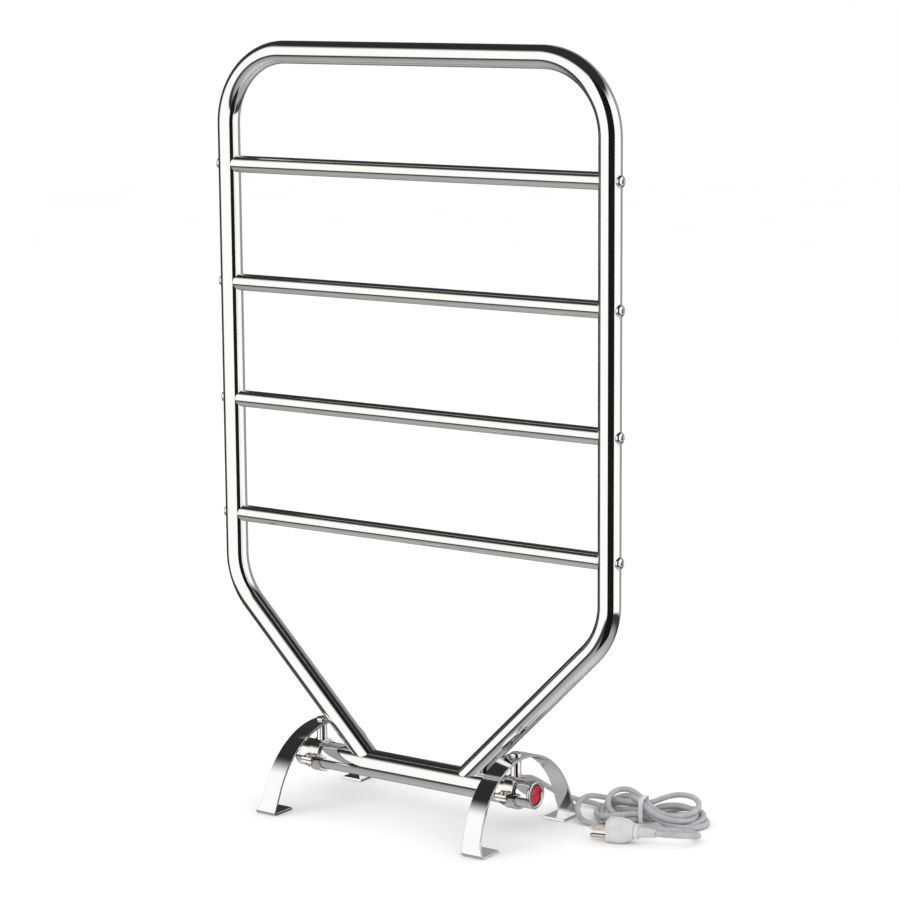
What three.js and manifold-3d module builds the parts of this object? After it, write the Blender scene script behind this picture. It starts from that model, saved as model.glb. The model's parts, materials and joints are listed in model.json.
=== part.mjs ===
// Free-standing electric towel warmer: one bent tube frame with four crossbars standing on a
// horizontal heater tube, two arched strip feet clamped round that tube, and a mains cord.
// Units are millimetres. +Z is up, z = 0 is the floor, x = 0 is the middle of the rack, and
// y = 0 is the plane of the frame. The front is -Y.
import * as THREE from 'three';
import { mergeVertices } from 'three/addons/utils/BufferGeometryUtils.js';
import Module from 'manifold-3d';

const wasm = await Module();
wasm.setup();

// ---- driving dimensions ----------------------------------------------------------------
const GAP = 0.3;                       // clearance between touching pieces
const OVERALL_HEIGHT = 863.6;          // floor to the top of the top bar
const UPRIGHT_SPACING = 508;           // between the uprights' centre lines

const FRAME_TUBE_R = 12.7;
const FRAME_WALL = 1.2;
const TOP_BEND_R = 82;                 // centre line radius of the two top corners
const LEG_BEND_R = 80;                 // centre line radius where an upright turns inwards
const LEG_FOOT_X = 62;                 // where a leg's centre line meets the heater's axis
const LEG_ANGLE = 45;                  // degrees, the leg's slope from the floor
const BEND_STEP = 10;                  // degrees of bend to each facet

const BAR_COUNT = 4;
const BAR_R = 9.525;
const BAR_WALL = 1;
const BAR_PITCH = 134.5;
const FIRST_BAR_DROP = 126.7;          // top bar's centre line down to the first crossbar

const HEATER_R = 15.875;
const HEATER_WALL = 1.275;
const HEATER_HEIGHT = 49;              // the heater's axis above the floor
const HEATER_BEYOND_LEFT_FOOT = 21;    // tube past the middle of the left foot
const HEATER_BEYOND_RIGHT_FOOT = 9;
const SPIGOT_LENGTH = 10;              // how far an end piece reaches into the heater tube
const END_CAP_THICKNESS = 8;

const ELEMENT_R = 4.75;
const ELEMENT_LEFT_SPACE = 17;         // from the tube's left end to the element
const ELEMENT_TO_CORD = 4;             // from the element's terminal to the cord exit's axis
const ELEMENT_TERMINAL_LENGTH = 8;
const ELEMENT_TERMINAL_R = 2;
const ELEMENT_BUSH_LENGTH = 6;
const ELEMENT_BUSH_INSET = 8;          // from the element's sheath end to its bush

const HOUSING_LENGTH = 15;             // switch housing, outside the heater tube
const HOUSING_WALL = 2.675;
const SWITCH_DEPTH = 13.5;
const SWITCH_WALL = 1.2;
const BEZEL_THICKNESS = 2.7;
const ROCKER_CLEARANCE = 0.8;          // between the rocker's rim and the switch body
const ROCKER_FACE_ANGLE = 8;           // each half of the face slopes up by this, degrees
const ROCKER_REST_TILT = 8;            // the rocker rests tilted this far, degrees
const ROCKER_PIVOT_DEPTH = 5.5;        // pivot axis behind the bezel's front
const PIVOT_R = 1.2;
const PIVOT_CLEARANCE = 0.3;

const BAR_SCREW_HEAD_R = 7;
const BAR_SCREW_PROUD = 3;
const BAR_SCREW_R = 2.4;
const BAR_SCREW_REACH = 38;            // shank length from the upright's outer face
const BAR_INSERT_LENGTH = 14;
const SCREW_CLEARANCE = 0.3;

const FOOT_TO_LEG = 2.04;              // from a foot's inner edge to the frame leg beside it
const FOOT_SPLAY = 5;                  // how much further out the pads are than the crown
const FOOT_WIDTH = 22;
const FOOT_THICKNESS = 3;
const FOOT_CROWN = 90;                 // top of the arch above the floor
const FOOT_ARCH_R = 95;                // the arch's outer radius
const FOOT_ARCH_ANGLE = 70;            // from the crown to where a leg turns straight, degrees
const FOOT_PAD_LENGTH = 34;
const FOOT_ARCH_STEPS = 14;
const FOOT_FLARE = 6;                  // how much wider a foot is at the floor, on its outer edge
const FOOT_FLARE_HEIGHT = 14;          // where the widening starts, above the floor

const COLLAR_WALL = 3;
const COLLAR_WIDTH = 14;
const COLLAR_EAR_MARGIN = 6;           // from a clamp screw's axis to its ear's tip
const COLLAR_EAR_THICKNESS = 3;
const COLLAR_SPLIT = 0.5;              // half of the slit between the two halves
const COLLAR_SCREW_R = 2;
const COLLAR_HEAD_CLEARANCE = 1.825;   // between a clamp screw's head and the collar
const COLLAR_SCREW_HEAD_R = 4;
const COLLAR_SCREW_HEAD = 3;
const COLLAR_NUT_R = 4;                // across the corners of the hexagon, halved
const COLLAR_NUT_HEIGHT = 3.2;
const POST_R = 6;
const FOOT_BOLT_R = 2.4;
const FOOT_BOLT_HEAD_R = 6.5;
const FOOT_BOLT_HEAD = 3.6;

const CORD_R = 3.2;
const CORD_EXIT_X = 112;
const RELIEF_END_Y = 42;
const RELIEF_R = 5;
const RELIEF_TIP_R = 4;
const RELIEF_FLANGE_R = 6.5;
const RELIEF_NECK_R = 4;

const HANK_X = 226;                    // the hank's tie on the floor
const HANK_Y = 119;
const HANK_TURN = 15;                  // the hank's long axis from +X, degrees
const HANK_HEIGHT = 38;
const HANK_LEFT = { centre: -30.5, radius: 23, shoulder: 70 };
const HANK_RIGHT = { centre: 49.5, radius: 28, shoulder: 110 };
const HANK_WAIST = 12;
const TIE_WIDTH = 5;
const TIE_THICKNESS = 1.6;

const PLUG_AXIS = { across: -81, height: 13 };
const PLUG_BODY = { front: -17, rear: 13, width: 24, height: 25.6, corner: 6 };
const PLUG_RELIEF_LENGTH = 24;
const PLUG_RELIEF_R = 6.2;
const PLUG_RELIEF_TIP_R = 4.2;
const PLUG_FLANGE_R = 8.2;
const PLUG_FLANGE = 4.5;
const BLADE = { length: 17, width: 6.3, thickness: 1.5, spacing: 12.7, height: 15.5 };
const GROUND_PIN = { radius: 2.4, length: 20, height: 4.6 };

// ---- worked out from the driving dimensions --------------------------------------------
const radians = THREE.MathUtils.degToRad;
const HALF_SPAN = UPRIGHT_SPACING / 2;
const TOP_BAR_HEIGHT = OVERALL_HEIGHT - FRAME_TUBE_R;
const LEG_CORNER_HEIGHT = HEATER_HEIGHT + (HALF_SPAN - LEG_FOOT_X) * Math.tan(radians(LEG_ANGLE));
const FOOT_X = LEG_FOOT_X + (FOOT_CROWN - HEATER_HEIGHT) / Math.tan(radians(LEG_ANGLE))
  + FRAME_TUBE_R / Math.sin(radians(LEG_ANGLE)) + FOOT_TO_LEG + FOOT_WIDTH / 2;
const HEATER_LEFT = -FOOT_X - HEATER_BEYOND_LEFT_FOOT;
const HEATER_RIGHT = FOOT_X + HEATER_BEYOND_RIGHT_FOOT;
const HEATER_BORE_R = HEATER_R - HEATER_WALL;
const SPIGOT_R = HEATER_BORE_R - GAP;
const HOUSING_LEFT = HEATER_RIGHT + GAP;
const HOUSING_RIGHT = HOUSING_LEFT + HOUSING_LENGTH;
const HOUSING_BORE_R = HEATER_R - HOUSING_WALL;
const SWITCH_R = HOUSING_BORE_R - GAP;
const SWITCH_BORE_R = SWITCH_R - SWITCH_WALL;
const ROCKER_R = SWITCH_BORE_R - ROCKER_CLEARANCE;
const BEZEL_LEFT = HOUSING_RIGHT + GAP;
const BEZEL_RIGHT = BEZEL_LEFT + BEZEL_THICKNESS;
const ROCKER_PIVOT_X = BEZEL_RIGHT - ROCKER_PIVOT_DEPTH;
const FOOT_ARCH_CENTRE = FOOT_CROWN - FOOT_ARCH_R;
const COLLAR_BORE_R = HEATER_R + GAP;
const COLLAR_R = COLLAR_BORE_R + COLLAR_WALL;
const COLLAR_SCREW_Y = COLLAR_R + COLLAR_HEAD_CLEARANCE + COLLAR_SCREW_HEAD_R;
const COLLAR_EAR_REACH = COLLAR_SCREW_Y + COLLAR_EAR_MARGIN;
const SPLAY_SLOPE = FOOT_SPLAY / FOOT_CROWN;
const SIDES = [['left', -1], ['right', 1]];

const barHeight = (number) => TOP_BAR_HEIGHT - FIRST_BAR_DROP - (number - 1) * BAR_PITCH;

// ---- materials -------------------------------------------------------------------------
const finish = (color, roughness, metalness) => () =>
  new THREE.MeshStandardMaterial({ color, roughness, metalness });
const chrome = finish(0xdfe1e4, 0.06, 1);
const steel = finish(0xb9bcc0, 0.25, 1);
const blackPlastic = finish(0x1d1d20, 0.5, 0);
const redPlastic = finish(0xb3122a, 0.2, 0);
const greyRubber = finish(0xa9abb0, 0.55, 0);
const plugPlastic = finish(0xc9c8cc, 0.45, 0);
const ceramic = finish(0xe8e2d6, 0.7, 0);
const brass = finish(0xc9a58c, 0.25, 1);
const tiePaper = finish(0xd9dadd, 0.6, 0);

const model = new THREE.Group();

function place(name, geometry, material) {
  const mesh = new THREE.Mesh(geometry, material());
  mesh.name = name;
  model.add(mesh);
  return mesh;
}

// ---- solids ----------------------------------------------------------------------------
function toSolid(geometry) {
  const bare = geometry.clone();
  bare.deleteAttribute('normal');
  bare.deleteAttribute('uv');
  const merged = mergeVertices(bare, 1e-4);
  return new wasm.Manifold(new wasm.Mesh({
    numProp: 3,
    vertProperties: new Float32Array(merged.attributes.position.array),
    triVerts: new Uint32Array(merged.index.array),
  }));
}

function toGeometry(solid) {
  const mesh = solid.getMesh();
  const geometry = new THREE.BufferGeometry();
  geometry.setAttribute('position', new THREE.BufferAttribute(mesh.vertProperties, 3));
  geometry.setIndex(new THREE.BufferAttribute(mesh.triVerts, 1));
  geometry.computeVertexNormals();
  return geometry;
}

const joined = (first, ...rest) =>
  toGeometry(rest.reduce((solid, next) => solid.add(toSolid(next)), toSolid(first)));
const cut = (first, ...tools) =>
  toGeometry(tools.reduce((solid, tool) => solid.subtract(toSolid(tool)), toSolid(first)));

// A cylinder along an axis from one station to another, centred on the other two coordinates.
function rodX(radius, from, to, y, z, sides = 24) {
  const rod = new THREE.CylinderGeometry(radius, radius, to - from, sides);
  rod.rotateZ(-Math.PI / 2);
  return rod.translate((from + to) / 2, y, z);
}

function rodY(radius, from, to, x, z, sides = 24) {
  return new THREE.CylinderGeometry(radius, radius, to - from, sides)
    .translate(x, (from + to) / 2, z);
}

function rodZ(radius, from, to, x, y, sides = 24) {
  const rod = new THREE.CylinderGeometry(radius, radius, to - from, sides);
  rod.rotateX(Math.PI / 2);
  return rod.translate(x, y, (from + to) / 2);
}

// A turned solid: profile points are [radius, station], and the axis is +X.
function turnedX(profile, y, z, sides = 24) {
  const turned = new THREE.LatheGeometry(profile.map(([r, s]) => new THREE.Vector2(r, s)), sides);
  turned.rotateZ(-Math.PI / 2);
  return turned.translate(0, y, z);
}

// The same with the axis along +Y.
function turnedY(profile, x, z, sides = 24) {
  return new THREE.LatheGeometry(profile.map(([r, s]) => new THREE.Vector2(r, s)), sides)
    .translate(x, 0, z);
}

// The same with the axis along +Z.
function turnedZ(profile, x, y, sides = 24) {
  const turned = new THREE.LatheGeometry(profile.map(([r, s]) => new THREE.Vector2(r, s)), sides);
  turned.rotateX(Math.PI / 2);
  return turned.translate(x, y, 0);
}

function ring(outer, inner = 0) {
  const shape = new THREE.Shape();
  shape.absarc(0, 0, outer, 0, 2 * Math.PI);
  if (inner) {
    const hole = new THREE.Path();
    hole.absarc(0, 0, inner, 0, 2 * Math.PI, true);
    shape.holes.push(hole);
  }
  return shape;
}

// A path through chosen stations, so a sweep has a step at each of them and no others.
class StationPath extends THREE.Curve {
  constructor(stations) {
    super();
    this.stations = stations;
  }

  getPoint(t, target = new THREE.Vector3()) {
    const last = this.stations.length - 1;
    const index = Math.min(Math.floor(t * last), last - 1);
    return target.lerpVectors(this.stations[index], this.stations[index + 1], t * last - index);
  }

  getUtoTmapping(u) {
    return u;
  }
}

function sweep(shape, stations, curveSegments) {
  const extrudePath = new StationPath(stations);
  const steps = stations.length - 1;
  return new THREE.ExtrudeGeometry(shape, { steps, extrudePath, curveSegments });
}

// Stations along a polyline in the y = 0 plane whose corners are bent to a radius.
function bentStations(corners) {
  const stations = [corners[0].point];
  for (let i = 1; i < corners.length - 1; i += 1) {
    const { point, radius } = corners[i];
    const into = point.clone().sub(corners[i - 1].point).normalize();
    const out = corners[i + 1].point.clone().sub(point).normalize();
    const turn = into.angleTo(out);
    const start = point.clone().addScaledVector(into, -radius * Math.tan(turn / 2));
    const normal = out.clone().addScaledVector(into, -out.dot(into)).normalize();
    const steps = Math.ceil(THREE.MathUtils.radToDeg(turn) / BEND_STEP);
    for (let step = 0; step <= steps; step += 1) {
      const angle = (turn * step) / steps;
      stations.push(start.clone()
        .addScaledVector(into, radius * Math.sin(angle))
        .addScaledVector(normal, radius * (1 - Math.cos(angle))));
    }
  }
  stations.push(corners[corners.length - 1].point);
  return stations;
}

// ---- frame and crossbars ---------------------------------------------------------------
function makeFrame() {
  const corner = (x, z, radius) => ({ point: new THREE.Vector3(x, 0, z), radius });
  const stations = bentStations([
    corner(-LEG_FOOT_X, HEATER_HEIGHT, 0),
    corner(-HALF_SPAN, LEG_CORNER_HEIGHT, LEG_BEND_R),
    corner(-HALF_SPAN, TOP_BAR_HEIGHT, TOP_BEND_R),
    corner(HALF_SPAN, TOP_BAR_HEIGHT, TOP_BEND_R),
    corner(HALF_SPAN, LEG_CORNER_HEIGHT, LEG_BEND_R),
    corner(LEG_FOOT_X, HEATER_HEIGHT, 0),
  ]);
  const tube = sweep(ring(FRAME_TUBE_R, FRAME_TUBE_R - FRAME_WALL), stations, 10);
  const reach = LEG_FOOT_X + 2 * FRAME_TUBE_R + HEATER_R;
  const tools = [rodX(HEATER_R + GAP, -reach, reach, 0, HEATER_HEIGHT, 32)];
  const holeR = BAR_SCREW_R + SCREW_CLEARANCE;
  for (const [, side] of SIDES) {
    for (let number = 1; number <= BAR_COUNT; number += 1) {
      const x = side * HALF_SPAN;
      tools.push(rodX(holeR, x - 2 * FRAME_TUBE_R, x + 2 * FRAME_TUBE_R, 0, barHeight(number), 10));
    }
  }
  place('frame_tube', cut(tube, ...tools), chrome);
}

function makeCrossbar(number) {
  const z = barHeight(number);
  const bar = rodX(BAR_R, -HALF_SPAN, HALF_SPAN, 0, z, 20);
  const bore = rodX(BAR_R - BAR_WALL, -HALF_SPAN - 1, HALF_SPAN + 1, 0, z, 20);
  const saddles = SIDES.map(([, side]) =>
    rodZ(FRAME_TUBE_R + GAP, z - 2 * BAR_R, z + 2 * BAR_R, side * HALF_SPAN, 0, 24));
  place(`crossbar_${number}`, cut(bar, bore, ...saddles), chrome);
  for (const [sideName, side] of SIDES) {
    makeBarInsert(`bar_insert_${sideName}_${number}`, side, z);
    makeBarScrew(`bar_screw_${sideName}_${number}`, side, z);
  }
}

// The plug inside a crossbar's end that its screw threads into.
function makeBarInsert(name, side, z) {
  const outer = HALF_SPAN - FRAME_TUBE_R - 2 * GAP;
  const profile = [
    [BAR_SCREW_R + SCREW_CLEARANCE, outer - BAR_INSERT_LENGTH],
    [BAR_R - BAR_WALL - GAP, outer - BAR_INSERT_LENGTH],
    [BAR_R - BAR_WALL - GAP, outer],
    [BAR_SCREW_R + SCREW_CLEARANCE, outer],
    [BAR_SCREW_R + SCREW_CLEARANCE, outer - BAR_INSERT_LENGTH],
  ];
  const insert = turnedX(profile, 0, 0, 14);
  if (side < 0) insert.rotateZ(Math.PI);
  place(name, insert.translate(0, 0, z), steel);
}

// The domed screw that holds a crossbar to an upright; its head is saddled to the tube.
function makeBarScrew(name, side, z) {
  const face = HALF_SPAN + FRAME_TUBE_R;
  const seat = HALF_SPAN + Math.sqrt(FRAME_TUBE_R ** 2 - BAR_SCREW_HEAD_R ** 2);
  const top = face + BAR_SCREW_PROUD;
  const rim = BAR_SCREW_HEAD_R;
  const head = turnedX([[0, seat], [rim, seat], [rim, face + 0.8], [rim * 0.9, top - 1],
    [rim * 0.62, top - 0.3], [0, top]], 0, 0, 16);
  const tube = rodZ(FRAME_TUBE_R + GAP, -2 * rim, 2 * rim, HALF_SPAN, 0, 32);
  const shank = rodX(BAR_SCREW_R, face - BAR_SCREW_REACH, face + 1, 0, 0, 10);
  const screw = joined(cut(head, tube), shank);
  if (side < 0) screw.rotateZ(Math.PI);
  place(name, screw.translate(0, 0, z), chrome);
}

// ---- heater ----------------------------------------------------------------------------
function makeHeater() {
  const z = HEATER_HEIGHT;
  const tube = turnedX([
    [HEATER_BORE_R, HEATER_LEFT], [HEATER_R, HEATER_LEFT],
    [HEATER_R, HEATER_RIGHT], [HEATER_BORE_R, HEATER_RIGHT],
    [HEATER_BORE_R, HEATER_LEFT]], 0, z, 32);
  const cordHole = rodY(RELIEF_NECK_R + GAP, 0, 2 * HEATER_R, CORD_EXIT_X, z, 16);
  place('heater_tube', cut(tube, cordHole), chrome);

  const capRight = HEATER_LEFT - GAP;
  const capLeft = capRight - END_CAP_THICKNESS;
  place('end_cap_left', turnedX([
    [0, capLeft], [HEATER_R - 4, capLeft + 0.4], [HEATER_R - 1, capLeft + 2],
    [HEATER_R, capLeft + 4], [HEATER_R, capRight], [SPIGOT_R, capRight],
    [SPIGOT_R, capRight + SPIGOT_LENGTH], [0, capRight + SPIGOT_LENGTH]], 0, z, 32), chrome);

  makeHeatingElement(z);
}

// A sealed rod on the heater's axis, held by a bush near each end, with a terminal at its right.
function makeHeatingElement(z) {
  const left = HEATER_LEFT + ELEMENT_LEFT_SPACE;
  const right = CORD_EXIT_X - ELEMENT_TO_CORD;
  const sheathEnd = right - ELEMENT_TERMINAL_LENGTH;
  const chamfer = 1;
  place('heating_element', turnedX([
    [0, left], [ELEMENT_R - chamfer, left], [ELEMENT_R, left + chamfer],
    [ELEMENT_R, sheathEnd], [ELEMENT_TERMINAL_R, sheathEnd],
    [ELEMENT_TERMINAL_R, right], [0, right]], 0, z, 16), steel);
  const bushStarts = [
    ['left', left + ELEMENT_BUSH_INSET],
    ['right', sheathEnd - ELEMENT_BUSH_INSET - ELEMENT_BUSH_LENGTH],
  ];
  for (const [sideName, start] of bushStarts) {
    place(`element_bush_${sideName}`, turnedX([
      [ELEMENT_R + GAP, start], [SPIGOT_R, start], [SPIGOT_R, start + ELEMENT_BUSH_LENGTH],
      [ELEMENT_R + GAP, start + ELEMENT_BUSH_LENGTH], [ELEMENT_R + GAP, start]],
    0, z, 20), ceramic);
  }
}

// ---- switch at the heater's right end --------------------------------------------------
function makeSwitch() {
  const z = HEATER_HEIGHT;
  const spigotLeft = HOUSING_LEFT - SPIGOT_LENGTH;
  const housing = turnedX([
    [HOUSING_BORE_R, spigotLeft], [SPIGOT_R, spigotLeft], [SPIGOT_R, HOUSING_LEFT],
    [HEATER_R, HOUSING_LEFT], [HEATER_R, HOUSING_RIGHT], [HOUSING_BORE_R, HOUSING_RIGHT],
    [HOUSING_BORE_R, spigotLeft]], 0, z, 32);
  place('switch_housing', housing, chrome);

  place('switch_bezel', turnedX([
    [SWITCH_BORE_R, BEZEL_LEFT], [HEATER_R - 0.3, BEZEL_LEFT],
    [HEATER_R - 0.5, BEZEL_RIGHT - 1.2], [HEATER_R - 1.8, BEZEL_RIGHT],
    [SWITCH_BORE_R + 0.8, BEZEL_RIGHT], [SWITCH_BORE_R, BEZEL_RIGHT - 0.8],
    [SWITCH_BORE_R, BEZEL_LEFT]], 0, z, 32), chrome);

  const back = HOUSING_RIGHT - SWITCH_DEPTH;
  const cup = turnedX([
    [0, back], [SWITCH_R, back], [SWITCH_R, HOUSING_RIGHT], [SWITCH_BORE_R, HOUSING_RIGHT],
    [SWITCH_BORE_R, back + 2], [0, back + 2]], 0, z, 32);
  const pivotHole = rodY(PIVOT_R + PIVOT_CLEARANCE, -HEATER_R, HEATER_R, ROCKER_PIVOT_X, z, 12);
  place('switch_body', cut(cup, pivotHole), blackPlastic);
}

// A round rocker whose face is a shallow V; it is built about its pivot and rests tilted.
function makeRocker() {
  const depth = 2.4;
  const valley = 3;
  const rise = ROCKER_R * Math.tan(radians(ROCKER_FACE_ANGLE));
  const disc = rodX(ROCKER_R, -depth, valley + rise, 0, 0, 32);
  const notch = new THREE.Shape([
    new THREE.Vector2(valley, 0),
    new THREE.Vector2(valley + 2 * rise, 2 * ROCKER_R),
    new THREE.Vector2(valley + 8 * rise, 0),
    new THREE.Vector2(valley + 2 * rise, -2 * ROCKER_R),
  ]);
  const length = 3 * ROCKER_R;
  const wedge = new THREE.ExtrudeGeometry(notch, { depth: length, bevelEnabled: false });
  wedge.translate(0, 0, -length / 2);
  wedge.rotateX(Math.PI / 2);
  const pinTip = (SWITCH_BORE_R + SWITCH_R) / 2;
  const pins = rodY(PIVOT_R, -pinTip, pinTip, 0, 0, 12);
  const rocker = joined(cut(disc, wedge), pins);
  rocker.rotateY(radians(ROCKER_REST_TILT));
  place('rocker', rocker.translate(ROCKER_PIVOT_X, 0, HEATER_HEIGHT), redPlastic);
}

// ---- feet ------------------------------------------------------------------------------
// One side of the arch's outline from the crown to the pad, at a distance inside the outer
// face; the mirrored side follows from it.
function archHalf(inset) {
  const radius = FOOT_ARCH_R - inset;
  const end = radians(FOOT_ARCH_ANGLE);
  const points = [];
  for (let step = 0; step <= FOOT_ARCH_STEPS; step += 1) {
    const angle = (end * step) / FOOT_ARCH_STEPS;
    points.push([radius * Math.sin(angle), FOOT_ARCH_CENTRE + radius * Math.cos(angle)]);
  }
  const [lastY, lastZ] = points[points.length - 1];
  for (const z of [FOOT_FLARE_HEIGHT, inset]) {
    points.push([lastY + (lastZ - z) / Math.tan(end), z]);
  }
  return points;
}

function footOutline() {
  const outer = archHalf(0);
  const inner = archHalf(FOOT_THICKNESS);
  const heel = outer[outer.length - 1][0];
  const padTip = heel - FOOT_PAD_LENGTH;
  const half = [...outer, [padTip, 0], [padTip, FOOT_THICKNESS], ...inner.reverse()];
  const mirrored = half.slice(1, -1).reverse().map(([y, z]) => [-y, z]);
  return new THREE.Shape([...half, ...mirrored].map(([y, z]) => new THREE.Vector2(y, z)));
}

// Widens the outer edge of a foot's strip towards the floor; the strip still lies about x = 0.
function flareFoot(strip, side) {
  const { position } = strip.attributes;
  for (let i = 0; i < position.count; i += 1) {
    const lift = Math.max(0, 1 - position.getZ(i) / FOOT_FLARE_HEIGHT);
    const outer = side * position.getX(i) > 0;
    if (outer) position.setX(i, position.getX(i) + side * FOOT_FLARE * lift);
  }
}

function makeFoot(sideName, side) {
  const strip = new THREE.ExtrudeGeometry(footOutline(), { depth: FOOT_WIDTH, bevelEnabled: false });
  strip.translate(0, 0, -FOOT_WIDTH / 2);
  strip.applyMatrix4(new THREE.Matrix4().makeBasis(
    new THREE.Vector3(0, 1, 0), new THREE.Vector3(0, 0, 1), new THREE.Vector3(1, 0, 0)));
  flareFoot(strip, side);
  strip.applyMatrix4(new THREE.Matrix4().makeShear(0, 0, 0, 0, -side * SPLAY_SLOPE, 0));
  strip.translate(side * (FOOT_X + FOOT_SPLAY), 0, 0);
  const x = side * FOOT_X;
  const boltHole = rodZ(FOOT_BOLT_R + SCREW_CLEARANCE, FOOT_CROWN - 10, FOOT_CROWN + 10, x, 0, 12);
  place(`foot_arch_${sideName}`, cut(strip, boltHole), chrome);
}

// One half of the clamp round the heater, with an ear at the front and one at the back.
function collarHalf(x, up) {
  const bore = rodX(COLLAR_BORE_R, x - COLLAR_WIDTH, x + COLLAR_WIDTH, 0, HEATER_HEIGHT, 32);
  const round = rodX(COLLAR_R, x - COLLAR_WIDTH / 2, x + COLLAR_WIDTH / 2, 0, HEATER_HEIGHT, 32);
  const earCentre = HEATER_HEIGHT + up * (COLLAR_SPLIT + COLLAR_EAR_THICKNESS / 2);
  const ears = new THREE.BoxGeometry(COLLAR_WIDTH, 2 * COLLAR_EAR_REACH, COLLAR_EAR_THICKNESS)
    .translate(x, 0, earCentre);
  const block = 3 * COLLAR_EAR_REACH;
  const otherHalf = new THREE.BoxGeometry(block, block, block)
    .translate(x, 0, HEATER_HEIGHT + up * (COLLAR_SPLIT - block / 2));
  const holes = [-1, 1].map((end) => rodZ(COLLAR_SCREW_R + SCREW_CLEARANCE,
    HEATER_HEIGHT - 20, HEATER_HEIGHT + 20, x, end * COLLAR_SCREW_Y, 12));
  return { body: joined(round, ears), tools: [bore, otherHalf, ...holes] };
}

function makeClamp(sideName, side) {
  const x = side * FOOT_X;
  const upper = collarHalf(x, 1);
  const collarTop = HEATER_HEIGHT + COLLAR_R;
  const boltHole = rodZ(FOOT_BOLT_R + SCREW_CLEARANCE, HEATER_HEIGHT, collarTop + 5, x, 0, 12);
  place(`collar_upper_${sideName}`, cut(upper.body, ...upper.tools, boltHole), chrome);
  const lower = collarHalf(x, -1);
  place(`collar_lower_${sideName}`, cut(lower.body, ...lower.tools), chrome);

  const crownUnder = FOOT_CROWN - FOOT_THICKNESS;
  const post = rodZ(POST_R, HEATER_HEIGHT, crownUnder - GAP, x, 0, 20);
  const seat = rodX(COLLAR_R + GAP, x - 2 * POST_R, x + 2 * POST_R, 0, HEATER_HEIGHT, 32);
  const postHole = rodZ(FOOT_BOLT_R + SCREW_CLEARANCE, 0, FOOT_CROWN, x, 0, 12);
  place(`foot_post_${sideName}`, cut(post, seat, postHole), chrome);

  const headSeat = FOOT_CROWN + GAP;
  const headTop = headSeat + FOOT_BOLT_HEAD;
  const shankEnd = HEATER_HEIGHT + COLLAR_BORE_R + GAP;
  place(`foot_bolt_${sideName}`, turnedZ([
    [0, -headTop], [FOOT_BOLT_HEAD_R * 0.6, 0.5 - headTop],
    [FOOT_BOLT_HEAD_R * 0.92, 1.7 - headTop], [FOOT_BOLT_HEAD_R, -headSeat],
    [FOOT_BOLT_R, -headSeat], [FOOT_BOLT_R, -shankEnd], [0, -shankEnd]],
  0, 0, 16).rotateX(Math.PI).translate(x, 0, 0), chrome);

  for (const [endName, end] of [['front', -1], ['back', 1]]) {
    makeCollarScrew(`${endName}_${sideName}`, x, end * COLLAR_SCREW_Y);
  }
}

function makeCollarScrew(suffix, x, y) {
  const earTop = HEATER_HEIGHT + COLLAR_SPLIT + COLLAR_EAR_THICKNESS;
  const earUnder = HEATER_HEIGHT - COLLAR_SPLIT - COLLAR_EAR_THICKNESS;
  const headTop = earTop + GAP + COLLAR_SCREW_HEAD;
  const nutTop = earUnder - GAP;
  const shankEnd = nutTop - COLLAR_NUT_HEIGHT - 2;
  const head = rodZ(COLLAR_SCREW_HEAD_R, earTop + GAP, headTop, x, y, 16);
  const shank = rodZ(COLLAR_SCREW_R, shankEnd, headTop - 1, x, y, 12);
  place(`collar_screw_${suffix}`, joined(head, shank), brass);
  const nut = rodZ(COLLAR_NUT_R, nutTop - COLLAR_NUT_HEIGHT, nutTop, x, y, 6);
  const thread = rodZ(COLLAR_SCREW_R + SCREW_CLEARANCE, shankEnd, nutTop + 1, x, y, 12);
  place(`collar_nut_${suffix}`, cut(nut, thread), brass);
}

// ---- cord ------------------------------------------------------------------------------
// The strain relief has a flange saddled to the heater tube and a neck through its wall.
function makeStrainRelief() {
  const z = HEATER_HEIGHT;
  const x = CORD_EXIT_X;
  const flangeFace = HEATER_R + GAP + 2;
  const flange = rodY(RELIEF_FLANGE_R, HEATER_R - 3, flangeFace, x, z, 20);
  const tube = rodX(HEATER_R + GAP, x - 20, x + 20, 0, z, 32);
  const neck = rodY(RELIEF_NECK_R, HEATER_BORE_R - 1, flangeFace, x, z, 16);
  const taper = turnedY([[0, flangeFace - 1], [RELIEF_R, flangeFace - 1],
    [RELIEF_TIP_R, RELIEF_END_Y], [0, RELIEF_END_Y]], x, z, 16);
  place('cord_strain_relief', joined(cut(flange, tube), neck, taper), greyRubber);
}

// Points on the floor beside the hank: along its long axis, across it, and up.
function besideHank(along, across, up) {
  const turn = radians(HANK_TURN);
  return new THREE.Vector3(
    HANK_X + along * Math.cos(turn) - across * Math.sin(turn),
    HANK_Y + along * Math.sin(turn) + across * Math.cos(turn),
    up);
}

const LEAD_ROUTE = [
  [112, 42.3, 49], [112, 52, 48.2], [112, 62, 45.6], [112, 72, 41.2], [112.3, 82, 35.6],
  [113.2, 92, 29.4], [115, 102, 22.8], [118, 111.8, 16.4], [122.8, 121, 10.8],
  [129.8, 128.6, 6.6], [138.6, 133.2, 4.3], [148.4, 133.6, 3.6], [158, 130.4, 3.5],
  [166.6, 126.4, 3.5], [174.6, 122.8, 3.5],
];

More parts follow.
